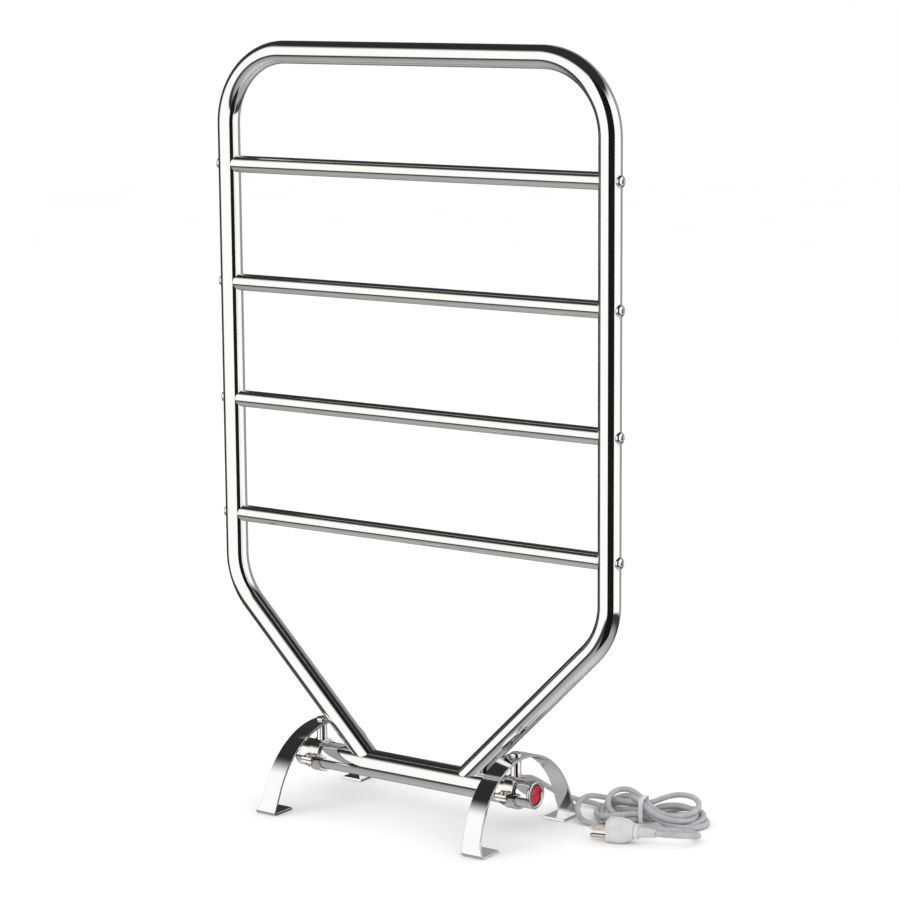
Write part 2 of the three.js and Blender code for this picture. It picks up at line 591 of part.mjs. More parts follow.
// Along the hank, across it, and up.
const TAIL_ROUTE = [
  [-54, 12.2, 20], [-60.4, 8.4, 19], [-66.2, 2.6, 17], [-70.2, -4.9, 14.2], [-71.4, -13.3, 11],
  [-69.6, -21.5, 8], [-65.1, -28.7, 5.6], [-58.5, -33.9, 4.1], [-50.4, -36.5, 3.5],
  [-38, -36.4, 3.5], [-26, -35.2, 3.5], [-14, -34.3, 3.5], [-2, -33.8, 3.5], [10, -33.6, 3.5],
  [24, -33.6, 3.5], [38, -33.8, 3.5], [50, -34, 3.5], [60.5, -36.3, 3.7],
  [70, -41.8, 4.6], [76.3, -50.5, 6.3], [78, -61, 8.7], [74.5, -70.5, 11.1],
  [66.5, -77.3, 12.5], [56, -80.5, 13], [47, -81, 13], [37.6, -81, 13],
];

function makeCord() {
  const routes = [
    ['cord_lead', LEAD_ROUTE.map(([x, y, z]) => new THREE.Vector3(x, y, z))],
    ['cord_tail', TAIL_ROUTE.map(([along, across, up]) => besideHank(along, across, up))],
  ];
  for (const [name, points] of routes) {
    place(name, sweep(ring(CORD_R), points, 5), greyRubber);
  }
}

function setBesideHank(geometry) {
  geometry.rotateZ(radians(HANK_TURN));
  return geometry.translate(HANK_X, HANK_Y, 0);
}

function makeHank() {
  const outline = new THREE.Shape();
  const { centre: rightX, radius: rightR, shoulder: rightAngle } = HANK_RIGHT;
  const { centre: leftX, radius: leftR, shoulder: leftAngle } = HANK_LEFT;
  const halfTie = TIE_WIDTH / 2 + 2;
  outline.moveTo(-halfTie, -HANK_WAIST);
  outline.lineTo(halfTie, -HANK_WAIST);
  outline.absarc(rightX, 0, rightR, -radians(rightAngle), radians(rightAngle));
  outline.lineTo(halfTie, HANK_WAIST);
  outline.lineTo(-halfTie, HANK_WAIST);
  outline.absarc(leftX, 0, leftR, radians(leftAngle), radians(360 - leftAngle));
  outline.closePath();
  const hank = new THREE.ExtrudeGeometry(outline, {
    depth: HANK_HEIGHT - GAP, bevelEnabled: false, curveSegments: 10 });
  place('cord_hank', setBesideHank(hank.translate(0, 0, GAP)), greyRubber);

  const inner = HANK_WAIST + GAP;
  const outer = inner + TIE_THICKNESS;
  const top = HANK_HEIGHT + GAP;
  const arch = new THREE.Shape([
    [-outer, GAP], [-inner, GAP], [-inner, top], [inner, top], [inner, GAP], [outer, GAP],
    [outer, top + TIE_THICKNESS], [-outer, top + TIE_THICKNESS],
  ].map(([y, z]) => new THREE.Vector2(y, z)));
  const tie = new THREE.ExtrudeGeometry(arch, { depth: TIE_WIDTH, bevelEnabled: false });
  tie.translate(0, 0, -TIE_WIDTH / 2);
  tie.applyMatrix4(new THREE.Matrix4().makeBasis(
    new THREE.Vector3(0, 1, 0), new THREE.Vector3(0, 0, 1), new THREE.Vector3(1, 0, 0)));
  place('cord_tie', setBesideHank(tie), tiePaper);
}

// The plug lies beside the hank with its axis parallel to the hank's.
function makePlug() {
  const { across, height: axis } = PLUG_AXIS;
  const { front, rear, width, height, corner } = PLUG_BODY;
  const arcX = width / 2 - corner;
  const arcY = height / 2 - corner;
  const section = new THREE.Shape();
  section.absarc(arcX, arcY, corner, 0, Math.PI / 2);
  section.absarc(-arcX, arcY, corner, Math.PI / 2, Math.PI);
  section.absarc(-arcX, -arcY, corner, Math.PI, 1.5 * Math.PI);
  section.absarc(arcX, -arcY, corner, 1.5 * Math.PI, 2 * Math.PI);
  const body = new THREE.ExtrudeGeometry(section, {
    depth: rear - front, bevelEnabled: false, curveSegments: 5 });
  body.applyMatrix4(new THREE.Matrix4().makeBasis(
    new THREE.Vector3(0, 1, 0), new THREE.Vector3(0, 0, 1), new THREE.Vector3(1, 0, 0)));
  place('plug_body', setBesideHank(body.translate(front, across, axis)), plugPlastic);

  const start = rear + GAP;
  const flangeEnd = start + PLUG_FLANGE;
  const end = start + PLUG_RELIEF_LENGTH;
  place('plug_strain_relief', setBesideHank(turnedX([
    [0, start], [PLUG_FLANGE_R, start], [PLUG_FLANGE_R, flangeEnd], [PLUG_RELIEF_R, flangeEnd],
    [PLUG_RELIEF_TIP_R, end], [0, end]], across, axis, 16)), plugPlastic);

  const tip = front - GAP;
  for (const [number, side] of [[1, -1], [2, 1]]) {
    const blade = new THREE.BoxGeometry(BLADE.length, BLADE.thickness, BLADE.width)
      .translate(tip - BLADE.length / 2, across + (side * BLADE.spacing) / 2, BLADE.height);
    place(`plug_blade_${number}`, setBesideHank(blade), brass);
  }
  const { radius, length, height: pinHeight } = GROUND_PIN;
  place('plug_ground_pin', setBesideHank(turnedX([
    [0, tip - length], [radius * 0.6, tip - length + 0.5], [radius, tip - length + 2],
    [radius, tip], [0, tip]], across, pinHeight, 12)), brass);
}

makeFrame();
for (let number = 1; number <= BAR_COUNT; number += 1) makeCrossbar(number);
makeHeater();
makeSwitch();
makeRocker();
for (const [sideName, side] of SIDES) {
  makeFoot(sideName, side);
  makeClamp(sideName, side);
}
makeStrainRelief();
makeCord();
makeHank();
makePlug();

export default model;
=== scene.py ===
"""The looks of a free-standing electric towel warmer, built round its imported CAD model.

Everything is in metres in the CAD model's frame: +Z up, z = 0 on the floor, x = 0 in the middle
of the rack, y = 0 in the plane of its tube frame, and the front is -Y.
"""

import json
import math

import bmesh
import bpy
import numpy as np
from mathutils import Matrix, Vector


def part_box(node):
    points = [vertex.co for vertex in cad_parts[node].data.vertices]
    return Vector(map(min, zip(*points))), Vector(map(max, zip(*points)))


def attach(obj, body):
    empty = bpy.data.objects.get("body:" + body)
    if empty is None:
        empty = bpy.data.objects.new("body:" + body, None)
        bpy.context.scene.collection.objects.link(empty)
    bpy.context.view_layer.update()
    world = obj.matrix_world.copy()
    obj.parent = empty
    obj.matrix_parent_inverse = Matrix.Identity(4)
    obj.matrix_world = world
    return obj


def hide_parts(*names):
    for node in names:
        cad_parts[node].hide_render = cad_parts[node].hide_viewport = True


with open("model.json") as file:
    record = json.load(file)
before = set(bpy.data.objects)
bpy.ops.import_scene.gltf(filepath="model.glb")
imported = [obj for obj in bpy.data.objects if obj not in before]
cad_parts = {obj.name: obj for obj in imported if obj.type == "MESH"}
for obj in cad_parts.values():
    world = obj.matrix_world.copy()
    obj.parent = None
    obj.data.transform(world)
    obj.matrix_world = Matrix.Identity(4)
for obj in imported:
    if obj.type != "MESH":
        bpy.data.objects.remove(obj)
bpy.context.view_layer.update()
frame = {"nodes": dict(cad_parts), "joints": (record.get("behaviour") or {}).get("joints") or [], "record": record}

MM = 0.001
TAU = 2 * math.pi
SIDES = (("left", -1), ("right", 1))

# ---- sizes that follow the CAD model ----


def middle(node):
    low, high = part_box(node)
    return (low + high) / 2


def extent(node):
    low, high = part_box(node)
    return high - low


FRAME_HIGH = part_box("frame_tube")[1]
FRAME_R = extent("frame_tube").y / 2
HALF_SPAN = FRAME_HIGH.x - FRAME_R
TOP_BAR_Z = FRAME_HIGH.z - FRAME_R
BAR_R = extent("crossbar_1").y / 2
HEATER_LOW, HEATER_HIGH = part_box("heater_tube")
HEATER_R = (HEATER_HIGH.y - HEATER_LOW.y) / 2
HEATER_Z = (HEATER_LOW.z + HEATER_HIGH.z) / 2
TOP_BEND_R = 82 * MM
LEG_BEND_R = 80 * MM
LEG_FOOT_X = 62 * MM
LEG_ANGLE = math.radians(45)
JOINT_GAP = 0.1 * MM  # a hairline between a tube's end and what it is fixed to

FOOT_X = middle("foot_bolt_right").x
FOOT_CROWN = extent("foot_arch_right").z
FOOT_HEEL_Y = extent("foot_arch_right").y / 2
FOOT_SPLAY = 5 * MM
FOOT_WIDTH = 22 * MM
FOOT_THICKNESS = 3 * MM
FOOT_ARCH_R = 95 * MM
FOOT_ARCH_ANGLE = math.radians(70)
FOOT_PAD_LENGTH = 34 * MM
FOOT_FLARE = 6 * MM
FOOT_FLARE_HEIGHT = 14 * MM

CORD_R = 3.2 * MM
HANK_X = 226 * MM
HANK_Y = 119 * MM
HANK_TURN = math.radians(15)


# ---- camera ----

CAMERA_PLACE = (1.8062, -2.5128, 0.9618)
CAMERA_LENS = 113.75
CAMERA_AZIMUTH = math.radians(34.97)
CAMERA_PITCH = math.radians(9.98)
CAMERA_ROLL = math.radians(-0.42)


def make_camera():
    """Stands in front of the rack to its right, and looks a little down on it."""
    azimuth, pitch, roll = CAMERA_AZIMUTH, CAMERA_PITCH, CAMERA_ROLL
    back = Vector((math.sin(azimuth) * math.cos(pitch),
                   -math.cos(azimuth) * math.cos(pitch), math.sin(pitch)))
    level = Vector((math.cos(azimuth), math.sin(azimuth), 0))
    upright = back.cross(level)
    right = level * math.cos(roll) + upright * math.sin(roll)
    up = upright * math.cos(roll) - level * math.sin(roll)
    data = bpy.data.cameras.new("camera")
    data.sensor_width = 36
    data.lens = CAMERA_LENS
    data.clip_end = 60
    camera = bpy.data.objects.new("camera", data)
    turn = Matrix((right, up, back)).transposed().to_4x4()
    camera.matrix_world = Matrix.Translation(CAMERA_PLACE) @ turn
    bpy.context.scene.collection.objects.link(camera)
    bpy.context.scene.camera = camera


make_camera()


# ---- materials ----


class Nodes:
    """A material's node tree with short ways to add and join nodes."""

    def __init__(self, name, **values):
        self.material = bpy.data.materials.new(name)
        self.material.use_nodes = True
        self.tree = self.material.node_tree
        self.shader = self.tree.nodes["Principled BSDF"]
        for socket, value in values.items():
            self.shader.inputs[socket.replace("_", " ")].default_value = value
        self.place = self.add("ShaderNodeTexCoord").outputs["Object"]

    def add(self, kind, **values):
        node = self.tree.nodes.new(kind)
        for name, value in values.items():
            setattr(node, name, value)
        return node

    def join(self, source, target):
        self.tree.links.new(source, target)

    def noise(self, scale, detail=3, roughness=0.5, stretch=(1, 1, 1)):
        mapping = self.add("ShaderNodeMapping")
        mapping.inputs["Scale"].default_value = stretch
        self.join(self.place, mapping.inputs["Vector"])
        noise = self.add("ShaderNodeTexNoise")
        noise.inputs["Scale"].default_value = scale
        noise.inputs["Detail"].default_value = detail
        noise.inputs["Roughness"].default_value = roughness
        self.join(mapping.outputs["Vector"], noise.inputs["Vector"])
        return noise.outputs["Fac"]

    def ramp(self, factor, *stops):
        """Colours at places from 0 to 1."""
        node = self.add("ShaderNodeValToRGB")
        elements = node.color_ramp.elements
        while len(elements) < len(stops):
            elements.new(0.5)
        for element, (position, colour) in zip(elements, stops):
            element.position = position
            element.color = (*colour, 1)
        self.join(factor, node.inputs["Fac"])
        return node.outputs["Color"]

    def span(self, factor, low, high, start=0.3, end=0.7):
        node = self.add("ShaderNodeMapRange")
        for socket, value in (("From Min", start), ("From Max", end),
                              ("To Min", low), ("To Max", high)):
            node.inputs[socket].default_value = value
        self.join(factor, node.inputs["Value"])
        return node.outputs["Result"]

    def bump(self, height, strength, distance):
        node = self.add("ShaderNodeBump")
        node.inputs["Strength"].default_value = strength
        node.inputs["Distance"].default_value = distance
        self.join(height, node.inputs["Height"])
        self.join(node.outputs["Normal"], self.shader.inputs["Normal"])


def chrome(name, colour, roughness=(0.025, 0.06), ripple=0.03):
    """Plated and polished: a cool mirror, with faint wipe marks and a very slight ripple."""
    nodes = Nodes(name, Metallic=1.0)
    smear = nodes.noise(14, 5, 0.6, (1, 1, 0.35))
    tint = nodes.ramp(smear, (0.3, [c * 0.965 for c in colour]), (0.7, colour))
    nodes.join(tint, nodes.shader.inputs["Base Color"])
    nodes.join(nodes.span(smear, *roughness), nodes.shader.inputs["Roughness"])
    nodes.bump(nodes.noise(180, 2), ripple, 0.05 * MM)
    return nodes.material


def turned_metal(name, colour, roughness=(0.16, 0.3)):
    """Brass or steel with fine tool marks, washed with nickel."""
    nodes = Nodes(name, Metallic=1.0)
    marks = nodes.noise(900, 3, 0.6, (1, 1, 0.2))
    patina = nodes.noise(130, 4, 0.6)
    tint = nodes.ramp(patina, (0.35, [c * 0.8 for c in colour]), (0.65, colour))
    nodes.join(tint, nodes.shader.inputs["Base Color"])
    nodes.join(nodes.span(marks, *roughness), nodes.shader.inputs["Roughness"])
    nodes.bump(marks, 0.12, 0.03 * MM)
    return nodes.material


def moulded(name, dark, light, roughness, grain=0.25, **values):
    """Moulded PVC or plastic: slight mottling and a fine pebbled skin."""
    nodes = Nodes(name, **values)
    mottle = nodes.noise(90, 4, 0.55)
    nodes.join(nodes.ramp(mottle, (0.3, dark), (0.7, light)), nodes.shader.inputs["Base Color"])
    skin = nodes.noise(1500, 3, 0.6)
    nodes.join(nodes.span(skin, *roughness), nodes.shader.inputs["Roughness"])
    nodes.bump(skin, grain, 0.08 * MM)
    return nodes.material


MATERIALS = {
    "frame_chrome": chrome("frame_chrome", (0.86, 0.86, 0.87)),
    "bar_chrome": chrome("bar_chrome", (0.86, 0.86, 0.86)),
    "heater_chrome": chrome("heater_chrome", (0.85, 0.85, 0.86), (0.03, 0.07)),
    "foot_chrome": chrome("foot_chrome", (0.85, 0.85, 0.87), (0.03, 0.08), 0.05),
    # The warm pink tint of the clamps' chrome is painted reflected light, not the colour of the metal.
    "clamp_chrome": chrome("clamp_chrome", (0.84, 0.8, 0.79), (0.05, 0.12), 0.06),
    "screw_chrome": chrome("screw_chrome", (0.85, 0.85, 0.87), (0.05, 0.12)),
    # The fasteners' warm pink tint is painted reflected light as well.
    "clamp_fastener": turned_metal("clamp_fastener", (0.82, 0.68, 0.6)),
    "insert_steel": turned_metal("insert_steel", (0.6, 0.61, 0.63)),
    "element_sheath": turned_metal("element_sheath", (0.5, 0.48, 0.46), (0.3, 0.5)),
    "element_seal": moulded("element_seal", (0.62, 0.56, 0.48), (0.72, 0.66, 0.58), (0.5, 0.7)),
    "switch_plastic": moulded("switch_plastic", (0.012, 0.012, 0.014), (0.03, 0.03, 0.034),
                              (0.3, 0.45)),
    # The rocker's faint emission is a painted glow that lightens its red, not a lamp.
    "rocker_red": moulded("rocker_red", (0.3, 0.002, 0.012), (0.47, 0.006, 0.028), (0.1, 0.2),
                          0.06, Coat_Weight=0.6, Coat_Roughness=0.06,
                          Emission_Color=(0.6, 0.01, 0.04, 1), Emission_Strength=0.05),
    "cord_pvc": moulded("cord_pvc", (0.38, 0.38, 0.4), (0.5, 0.5, 0.52), (0.34, 0.5), 0.2,
                        Sheen_Weight=0.1),
    "relief_pvc": moulded("relief_pvc", (0.42, 0.42, 0.44), (0.52, 0.52, 0.54), (0.4, 0.55)),
    "cord_tie": moulded("cord_tie", (0.62, 0.62, 0.64), (0.74, 0.74, 0.76), (0.35, 0.5)),
    "plug_pvc": moulded("plug_pvc", (0.57, 0.56, 0.58), (0.65, 0.64, 0.66), (0.35, 0.5)),
    "plug_brass": turned_metal("plug_brass", (0.82, 0.72, 0.66)),
}


# ---- making pieces ----


def finish_piece(obj, slot, body, *replaced):
    obj.data.materials.append(MATERIALS[slot])
    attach(obj, body)
    if replaced:
        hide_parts(*replaced)
    return obj


def mesh_object(name, bm, sharp=40):
    """The mesh with smooth faces, whose edges stay crisp where they turn by more than sharp."""
    bmesh.ops.recalc_face_normals(bm, faces=bm.faces)
    limit = math.radians(sharp)
    for face in bm.faces:
        face.smooth = True
    for edge in bm.edges:
        edge.smooth = len(edge.link_faces) == 2 and edge.calc_face_angle(0) < limit
    mesh = bpy.data.meshes.new(name)
    bm.to_mesh(mesh)
    bm.free()
    obj = bpy.data.objects.new(name, mesh)
    bpy.context.scene.collection.objects.link(obj)
    return obj


def bevelled(obj, width, segments=3):
    """Rounds the crisp edges, and keeps the flat faces flat."""
    bevel = obj.modifiers.new("edges", "BEVEL")
    bevel.width = width
    bevel.segments = segments
    bevel.limit_method = "ANGLE"
    bevel.angle_limit = math.radians(35)
    bevel.harden_normals = True
    return obj


def rings_mesh(rings, closed_ends=True):
    """A skin over rings of points, all with the same number of points."""
    bm = bmesh.new()
    made = [[bm.verts.new(p) for p in ring] for ring in rings]
    count = len(made[0])
    for lower, upper in zip(made, made[1:]):
        for i in range(count):
            j = (i + 1) % count
            bm.faces.new((lower[i], lower[j], upper[j], upper[i]))
    if closed_ends:
        bm.faces.new(made[0])
        bm.faces.new(made[-1])
    return bm


AXES = {
    "x": lambda along, a, b: Vector((along, a, b)),
    "y": lambda along, a, b: Vector((a, along, b)),
    "z": lambda along, a, b: Vector((a, b, along)),
}


def hexagonal(angle):
    """How much further out a hexagon's side is than its inscribed circle, in that direction."""
    return 1 / math.cos((angle + math.pi / 6) % (math.pi / 3) - math.pi / 6)


def turned(name, profile, axis, centre, segments=72, sharp=30):
    """A turned piece. Profile points are (radius, station) or (radius, station, "hex") in
    millimetres, from one end on the axis to the other, or a closed ring round the axis."""
    bm = bmesh.new()
    rings = []
    for radius, station, *form in profile:
        if radius == 0:
            rings.append([bm.verts.new(AXES[axis](station * MM, 0, 0))])
            continue
        ring = []
        for i in range(segments):
            angle = TAU * i / segments
            r = radius * MM * (hexagonal(angle) if form else 1)
            ring.append(bm.verts.new(
                AXES[axis](station * MM, r * math.cos(angle), r * math.sin(angle))))
        rings.append(ring)
    pairs = list(zip(rings, rings[1:]))
    if len(rings[0]) > 1:
        pairs.append((rings[-1], rings[0]))
    for lower, upper in pairs:
        for i in range(segments):
            j = (i + 1) % segments
            corners = [lower[i % len(lower)], lower[j % len(lower)],
                       upper[j % len(upper)], upper[i % len(upper)]]
            bm.faces.new(list(dict.fromkeys(corners)))
    obj = mesh_object(name, bm, sharp)
    obj.data.transform(Matrix.Translation(centre))
    return obj


def arc(centre, radius, start, end, steps):
    """Points round a centre in a plane, from one angle to another, in radians."""
    angles = [start + (end - start) * i / steps for i in range(steps + 1)]
    return [(centre[0] + radius * math.cos(a), centre[1] + radius * math.sin(a)) for a in angles]


def slab(name, outline, low, high, axis="x"):
    """A plate: an outline extruded from low to high along an axis."""
    rings = [[AXES[axis](station, a, b) for a, b in outline] for station in (low, high)]
    return mesh_object(name, rings_mesh(rings))


# ---- cord ----

LEAD_ROUTE = [
    (0.112, 0.0423, 0.049), (0.112, 0.052, 0.0482), (0.112, 0.062, 0.0456),
    (0.112, 0.072, 0.0412), (0.1123, 0.082, 0.0356), (0.1132, 0.092, 0.0294),
    (0.115, 0.102, 0.0228), (0.118, 0.1118, 0.0164), (0.1228, 0.121, 0.0108),
    (0.1298, 0.1286, 0.0066), (0.1386, 0.1332, 0.0043), (0.1484, 0.1336, 0.0036),
    (0.158, 0.1304, 0.0035), (0.1666, 0.1264, 0.0035), (0.1746, 0.1228, 0.0035),
]

# Along the hank, across it, and up.
TAIL_ROUTE = [
    (-0.054, 0.0122, 0.02), (-0.0604, 0.0084, 0.019), (-0.0662, 0.0026, 0.017),
    (-0.0702, -0.0049, 0.0142), (-0.0714, -0.0133, 0.011), (-0.0696, -0.0215, 0.008),
    (-0.0651, -0.0287, 0.0056), (-0.0585, -0.0339, 0.0041), (-0.0504, -0.0365, 0.0035),
    (-0.038, -0.0364, 0.0035), (-0.026, -0.0352, 0.0035), (-0.014, -0.0343, 0.0035),
    (-0.002, -0.0338, 0.0035), (0.01, -0.0336, 0.0035), (0.024, -0.0336, 0.0035),
    (0.038, -0.0338, 0.0035), (0.05, -0.034, 0.0035), (0.0605, -0.0363, 0.0037),
    (0.07, -0.0418, 0.0046), (0.0763, -0.0505, 0.0063), (0.078, -0.061, 0.0087),
    (0.0745, -0.0705, 0.0111), (0.0665, -0.0773, 0.0125), (0.056, -0.0805, 0.013),
    (0.047, -0.081, 0.013), (0.0376, -0.081, 0.013),
]

# The hank is a bow of three turns and a half. Each turn has a fold at either end, and two runs on
# each side of the tie: a front one that lies low, and a back one held up by those before it.
FOLD_REACH = ((66, 8), (62, 8), (58, 8), (54, 8))  # mean reach, and how lopsided
RIGHT_FRONT = ((-26, 3.5), (-19.5, 3.5), (-16, 9.5), (-10, 9.5))  # across, and up
RIGHT_BACK = ((25, 3.5), (25, 10.5), (23, 17.5), (20, 24.5))
LEFT_FRONT = ((-20, 3.5), (-15, 8), (-12, 14))
LEFT_BACK = ((21, 8), (20, 15.5), (18, 23))
# How the lead enters the first turn, and how the tail leaves the last one, through the tie.
HANK_ENTRY = [(-38, 12.5, 3.5), (-26, 9.5, 5), (-14, 6, 9)]
HANK_EXIT = [(-14, 4, 12), (-26, 8.5, 15.5), (-40, 11.5, 18.5)]
# Where the runs pass the tie, across and up: those to the right lie on those to the left.
TIED_LEFTWARD = ((-6.6, 3.5), (0, 3.5), (6.6, 3.5), (-6.6, 10))
TIED_RIGHTWARD = ((0, 10), (6.6, 10), (-3.3, 16.5), (3.3, 16.5))
TIE_HALF_WIDTH = 8
TIE_TOP = 22
TIE_HOLD = 4
TIE_REACH = 26  # the runs open out from the tie over this length
LOOSE_END = 6  # points of the lead and the tail that settle with the hank
TURN_STEPS = 56
HANK_STEP = 5  # between the points of the hank's line
CORD_LIFT = 0.3
BAND_THICKNESS = 1.5

SETTLING_ROUNDS = 500
EVENING_ROUNDS = 4
STRAIGHTENING = 0.2  # share of the way to its neighbours' middle, each round
EVENING = 0.5
BEND_R = 28  # what the settling cord's bends tend to
BEND_REACHES = (2, 4)
OPENING = 0.18  # how strongly a bend that is too tight opens
APART = 2.06  # how far apart runs are held, in the cord's radii
PARTING = 0.4
SAME_RUN = 5  # points nearer than this along the cord don't push apart
SPREAD_SLOPE = 0.9  # how fast the cord may widen and rise away from the tie
RISE_SLOPE = 0.7


def hank_start():
    """The hank's turns before they settle, in millimetres along it, across it and up."""
    points = []
    last = len(FOLD_REACH) - 1
    for turn, (reach, lopsided) in enumerate(FOLD_REACH):
        for step in range(TURN_STEPS):
            angle = TAU * step / TURN_STEPS
            swing = math.sin(2 * angle)
            along = reach * math.sin(angle) + lopsided * math.sin(angle) ** 2
            right = angle < math.pi
            if turn == last and not right:
                return points
            front = (RIGHT_FRONT if right else LEFT_FRONT)[turn]
            back = (RIGHT_BACK if right else LEFT_BACK)[turn]
            fold = [(a + b) / 2 for a, b in zip(front, back)]
            side = front if swing > 0 else back
            out = [f + (s - f) * abs(swing) for f, s in zip(fold, side)]
            heading = 1 if round(angle / math.pi) % 2 == 0 else -1
            number = turn + (angle > 1.5 * math.pi)
            tied = (TIED_RIGHTWARD if heading > 0 else TIED_LEFTWARD)[number]
            blend = max(0.0, 1 - abs(along) / TIE_REACH)
            blend = blend * blend * (3 - 2 * blend)
            points.append((along, *(o + (t - o) * blend for o, t in zip(out, tied))))
    return points


def straighten(p, free, share):
    p[1:-1] += share * free[1:-1] * ((p[:-2] + p[2:]) / 2 - p[1:-1])


def bow_out(p, free, reach, chord):
    """Opens each bend whose ends, reach points to either side of it, are nearer than chord."""
    a, bend, b = p[:-2 * reach], p[reach:-reach], p[2 * reach:]
    gap = b - a
    long = np.linalg.norm(gap, axis=1)[:, None] + 1e-9
    push = OPENING * np.clip(chord - long, 0, None) * gap / long
    inward = OPENING / 2 * np.clip(chord - long, 0, None) * ((a + b) / 2 - bend)
    inward /= np.linalg.norm((a + b) / 2 - bend, axis=1)[:, None] + 1e-9
    change = np.zeros_like(p)
    change[:-2 * reach] -= push
    change[2 * reach:] += push
    change[reach:-reach] += inward
    p += free * change


def part_runs(p, free, radius):
    """Moves runs that press into each other apart."""
    index = np.arange(len(p))
    neighbours = np.abs(index[:, None] - index[None, :]) < SAME_RUN
    away = p[:, None, :] - p[None, :, :]
    distance = np.linalg.norm(away, axis=2) + 1e-9
    depth = np.where(neighbours, 0, np.clip(APART * radius - distance, 0, None))
    p += free * (away / distance[:, :, None] * depth[:, :, None]).sum(1) * PARTING


def keep_length(p, free, rest, first):
    """Brings every second stretch, from the first, back to its length."""
    a, b = p[first:-1:2], p[first + 1::2]
    gap = b - a
    long = np.linalg.norm(gap, axis=1)[:, None]
    stretch = (long - rest[first::2, None]) * gap / long
    wa, wb = free[first:-1:2], free[first + 1::2]
    share = np.maximum(wa + wb, 1)
    a += stretch * wa / share
    b -= stretch * wb / share


def hold_in(p, free, radius):
    """Keeps the free points inside the tie, under its top and above the floor."""
    moves = free[:, 0] > 0
    beyond = np.clip(np.abs(p[:, 0]) - TIE_HOLD, 0, None)
    reach = np.where(moves, TIE_HALF_WIDTH + SPREAD_SLOPE * beyond, np.inf)
    p[:, 1] = np.clip(p[:, 1], -reach, reach)
    p[:, 2] = np.where(moves, np.minimum(p[:, 2], TIE_TOP + RISE_SLOPE * beyond), p[:, 2])
    floor = radius + CORD_LIFT + BAND_THICKNESS * np.clip(1 - beyond / TIE_REACH, 0, 1)
    p[:, 2] = np.where(moves, np.maximum(p[:, 2], floor), p[:, 2])


def settled(points, held, radius):
    """Lets a cord settle: its runs move apart, it bends evenly, keeps its length, and stays on the
    floor and inside the tie. held is 1 for a point that doesn't move."""
    p = np.array(points, float)
    free = (1 - np.array(held, float))[:, None]
    rest = np.linalg.norm(np.diff(p, axis=0), axis=1)
    step = float(rest[free[1:, 0] > 0].mean())
    for _ in range(SETTLING_ROUNDS):
        straighten(p, free, STRAIGHTENING)
        for reach in BEND_REACHES:
            bow_out(p, free, reach, 2 * BEND_R * math.sin(reach * step / BEND_R))
        for _ in range(2):
            part_runs(p, free, radius)
        for first in (0, 1, 0, 1):
            keep_length(p, free, rest, first)
        hold_in(p, free, radius)
    for _ in range(EVENING_ROUNDS):
        straighten(p, free, EVENING)
    return p


def evenly(points, step):
    """The same line with points about step apart."""
    p = np.array(points, float)
    along = np.concatenate([[0], np.cumsum(np.linalg.norm(np.diff(p, axis=0), axis=1))])
    at = np.linspace(0, along[-1], round(along[-1] / step) + 1)
    return np.stack([np.interp(at, along, p[:, k]) for k in range(3)], axis=1)


def beside_hank(along, across, up):
    c, s = math.cos(HANK_TURN), math.sin(HANK_TURN)
    return Vector((HANK_X + along * c - across * s, HANK_Y + along * s + across * c, up))


def to_hank(point):
    c, s = math.cos(HANK_TURN), math.sin(HANK_TURN)
    x, y = point[0] - HANK_X, point[1] - HANK_Y
    return (x * c + y * s, y * c - x * s, point[2])


def cord_line():
    """The cord's whole centreline, from the strain relief to the plug."""
    lead = [Vector(to_hank(p)) / MM for p in LEAD_ROUTE]
    tail = [Vector(p) / MM for p in TAIL_ROUTE]
    hank = evenly([tuple(lead[-1]), *HANK_ENTRY, *hank_start(), *HANK_EXIT, tuple(tail[0])],
                  HANK_STEP)
    whole = [*map(tuple, lead[:-1]), *map(tuple, hank), *map(tuple, tail[1:])]
    held = [1] * (len(lead) - LOOSE_END) + [0] * (len(hank) - 2 + 2 * LOOSE_END)
    held += [1] * (len(tail) - LOOSE_END)
    return [beside_hank(*(Vector(p) * MM)) for p in settled(whole, held, CORD_R / MM)]


CORD_LINE = cord_line()


def make_cord():
    """The cord, and its length measured along its centreline."""
    curve = bpy.data.curves.new("cord", "CURVE")
    curve.dimensions = "3D"
    curve.bevel_depth = CORD_R
    curve.bevel_resolution = 6
    curve.resolution_u = 3
    curve.use_fill_caps = True
    spline = curve.splines.new("BEZIER")
    spline.bezier_points.add(len(CORD_LINE) - 1)
    for point, place in zip(spline.bezier_points, CORD_LINE):
        point.co = place
        point.handle_left_type = point.handle_right_type = "AUTO"
    cord = bpy.data.objects.new("cord", curve)
    bpy.context.scene.collection.objects.link(cord)
    finish_piece(cord, "cord_pvc", "rack", "cord_lead", "cord_tail", "cord_hank")
    length = sum((b - a).length for a, b in zip(CORD_LINE, CORD_LINE[1:]))
    return cord, length


cord, cord_length = make_cord()


# ---- stage ----


# The mirrored walls and the card are laid out round this direction, towards the camera.
STUDIO_AZIMUTH = math.radians(35)
STUDIO_FRONT = Vector((math.sin(STUDIO_AZIMUTH), -math.cos(STUDIO_AZIMUTH), 0))
STUDIO_RIGHT = Vector((math.cos(STUDIO_AZIMUTH), math.sin(STUDIO_AZIMUTH), 0))
LIGHTS_AIM = Vector((0, 0, 0.3))
DIFFUSE_WHITE = (1.12, 1.12, 1.12)
CAMERA_WHITE = (1.0, 1.0, 1.0)
FLAG_DISTANCE = 0.84
FLAG_LEFT, FLAG_RIGHT = -0.09, 0.75
FLAG_BOTTOM, FLAG_TOP = -0.6, 1.6


